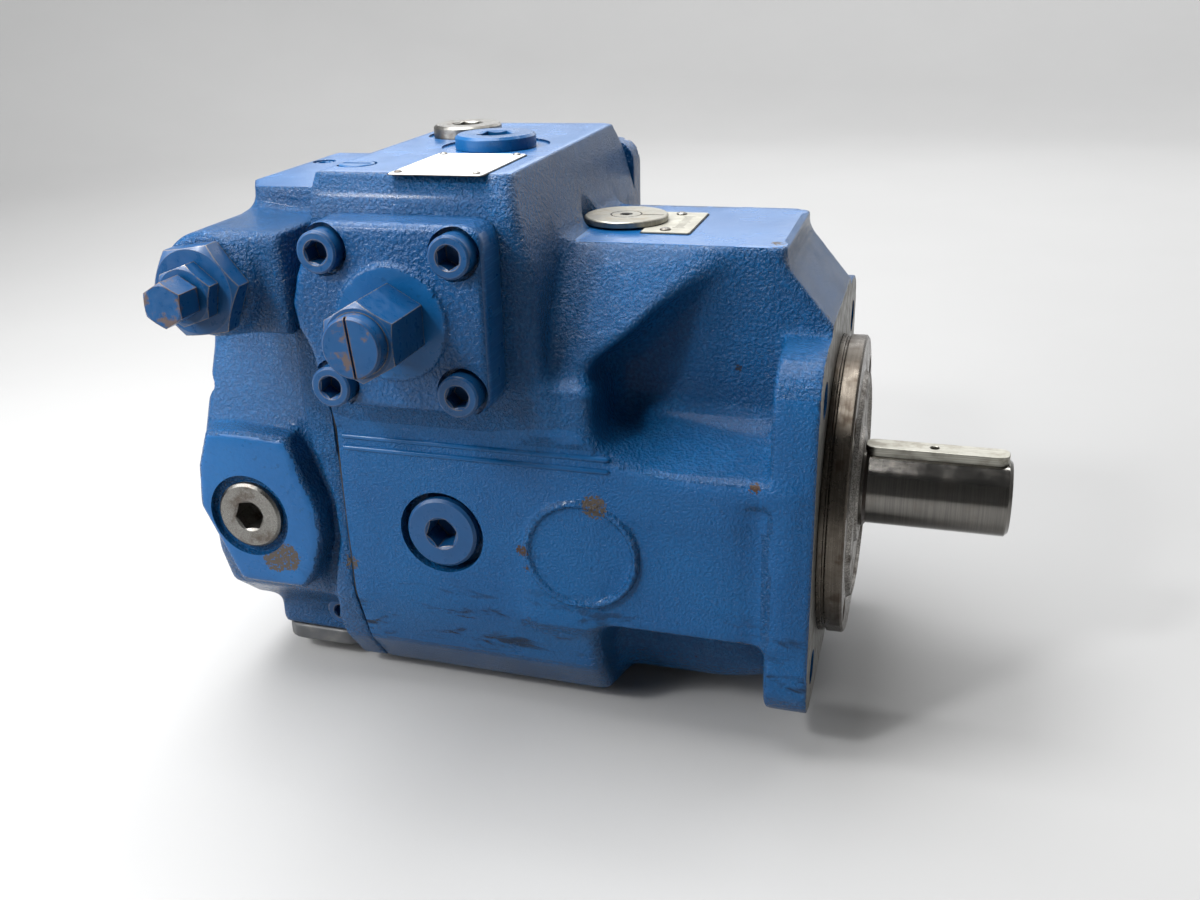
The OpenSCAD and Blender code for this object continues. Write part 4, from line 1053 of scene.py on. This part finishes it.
def build_scale():
    """Scale plate beside the disc: engraved ticks, a dark seam under it and two pins."""
    place = pointing((SCALE_X, 0, TOWER_TOP), UP)
    ticks = []
    for number in range(-5, 6):
        tick = prism(rectangle(5.0 if number % 5 == 0 else 3.4, 0.45), 0.58, 1.0)
        tick.transform(Matrix.Translation((3.6, number * 2.2, 0)))
        ticks.append(as_mesh(tick, "tick", place))
    mesh = as_mesh(prism(rectangle(19.4, 40, 1.2), 0, 0.7, 0.1), "scale_plate", place)
    mesh = combined("scale_plate", mesh, ticks)

    def in_tick(c, n):
        inside = (np.abs(c[0] - SCALE_X) < 9) & (np.abs(c[1]) < 15)
        return inside & (c[2] < TOWER_TOP + 0.66) & (c[2] > TOWER_TOP + 0.3)

    paint_faces(mesh, [in_tick])
    piece("scale_plate", mesh, (scale_metal, gasket), ["scale_plate"])
    part("scale_edge", prism(rectangle(20.4, 41, 1.6), 0, 0.3), place, gasket)
    for number, y in enumerate((15.5, -15.5), 1):
        pin = turned([(0, 0), (1, 0), (1, 0.6), (2.3, 0.6), (2.1, 1.2), (1.3, 1.6), (0, 1.7)], 0.2, 40)
        part(f"scale_pin_{number}", pin, pointing((-69, y, TOWER_TOP), UP), steel_plated,
             ["scale_plate_pins"])


def build_nameplate():
    """Blank name plate with its pins and the dark seam around it."""
    centre = (-140.5, -51.5, BLOCK_TOP)
    place = pointing(centre, UP)
    part("nameplate", prism(rectangle(37, 49, 1.5), 0, 0.6, 0.15), place, label_white,
         ["nameplate"])
    part("nameplate_edge", prism(rectangle(38, 50, 1.8), 0, 0.25), place, gasket)
    for number, (sx, sy) in enumerate(CORNERS, 1):
        pin = turned([(0, 0), (1.7, 0), (1.5, 0.5), (0.8, 0.9), (0, 1.0)], 0.15, 32)
        place = (centre[0] + sx * 15.5, centre[1] + sy * 21.5, BLOCK_TOP + 0.5)
        part(f"nameplate_pin_{number}", pin, pointing(place, UP), steel_plated)


def build_suction_cap():
    """Transport cap under the port plate, dished underneath."""
    dish = turned([(0, -1), (16, -1), (15, 4), (0, 4)], 0.8, 64)
    part("suction_cap", prism(rectangle(39, 98, 9), 0, 8, 1.6), pointing((SUCTION_X, 0, -86), UP),
         cap_plastic, ["suction_port_cap"], cuts=[dish])


CAD_FINISHES = {
    "bearing_steel": steel_inner, "bronze": bronze, "spring_steel": steel_black, "cradle_iron": cradle_iron,
    "seal_rubber": rubber, "fastener_blue": paint_part,
}


def finish_cad_nodes():
    """Inner CAD parts keep their shape and take the finish of their material slot."""
    slots = {row["node"]: row["material_slot"] for row in frame["record"]["subparts"]}
    for node, made in frame["nodes"].items():
        finish = CAD_FINISHES.get(slots[node])
        if made.hide_render or finish is None:
            continue
        made.data.materials.clear()
        made.data.materials.append(finish)


# ---- Camera, lights and floor ----
def make_camera():
    """Camera at the photograph's angle: azimuth and elevation of the view line, and a slight roll."""
    azimuth, elevation, roll = 0.340, 0.374, -0.042
    flat = math.cos(elevation)
    forward = Vector((-math.sin(azimuth) * flat, math.cos(azimuth) * flat, -math.sin(elevation)))
    right = forward.cross(UP).normalized()
    up = right.cross(forward)
    right_rolled = math.cos(roll) * right + math.sin(roll) * up
    up_rolled = math.cos(roll) * up - math.sin(roll) * right
    data = bpy.data.cameras.new("camera")
    camera = bpy.data.objects.new("camera", data)
    bpy.context.scene.collection.objects.link(camera)
    turn = Matrix((right_rolled, up_rolled, -forward)).transposed().to_4x4()
    camera.matrix_world = Matrix.Translation(Vector((35.4, -469.4, 208.3)) * MM) @ turn
    data.sensor_width = 36.0
    data.lens = 35.3
    data.shift_x, data.shift_y = 0.0498, -0.0188
    data.clip_start, data.clip_end = 0.01, 20
    bpy.context.scene.camera = camera


def area_light(name, place, aim, size, watts):
    """A rectangular white light; its place, aim and size are in metres."""
    data = bpy.data.lights.new(name, "AREA")
    data.shape = "RECTANGLE"
    data.size, data.size_y = size
    data.energy = watts
    light = bpy.data.objects.new(name, data)
    bpy.context.scene.collection.objects.link(light)
    light.location = place
    light.rotation_euler = (Vector(aim) - Vector(place)).to_track_quat("-Z", "Y").to_euler()


def make_studio():
    world = bpy.data.worlds.new("studio")
    bpy.context.scene.world = world
    world.use_nodes = True
    background = world.node_tree.nodes["Background"]
    background.inputs["Color"].default_value = (0.95, 0.97, 1.0, 1)
    background.inputs["Strength"].default_value = 0.10
    bpy.context.scene.view_settings.view_transform = "Standard"
    centre = (-0.09, 0.0, 0.03)
    area_light("overhead", (-0.40, 0.0, 1.0), (-0.25, 0.0, 0.1), (0.9, 0.7), 21)
    area_light("left_fill", (-0.56, -0.40, 0.32), centre, (0.5, 0.4), 4.4)
    area_light("key", (-0.65, -0.80, 0.80), centre, (0.12, 0.12), 6.5)
    area_light("back_panel", (0.0, 1.45, 0.95), (0.0, 0.0, 0.15), (2.4, 1.0), 12)
    area_light("backdrop", (0.0, 0.9, 1.9), (0.0, 2.5, 0.6), (2.4, 0.6), 70)
    finish = Finish("floor", 0.8, Specular_IOR_Level=0.15)
    colour = finish.mix(finish.noise(180, 3), (0.36, 0.36, 0.36), (0.38, 0.38, 0.38))
    bend = [(1700 + 800 * math.sin(a), 800 - 800 * math.cos(a)) for a in np.linspace(0, math.pi / 2, 13)]
    mesh = as_mesh(turned([(0, 0)] + bend + [(2500, 3200)], 0, 96), "floor")
    mesh.flip_normals()
    mesh.shade_smooth()
    mesh.materials.append(finish.finish(colour, None, finish.bump(finish.noise(12, 3), 0.05)))
    floor = bpy.data.objects.new("floor", mesh)
    floor.location.z = cad_low[2] - 0.0005
    bpy.context.scene.collection.objects.link(floor)


build_housing()
build_casting_lines()
build_port_plate()
build_controller()
build_near_cover()
build_far_cover()
build_fasteners()
build_limiter()
build_adjuster()
build_pilot()
build_shaft()
build_indicator()
build_scale()
build_nameplate()
build_suction_cap()
finish_cad_nodes()
make_camera()
make_studio()
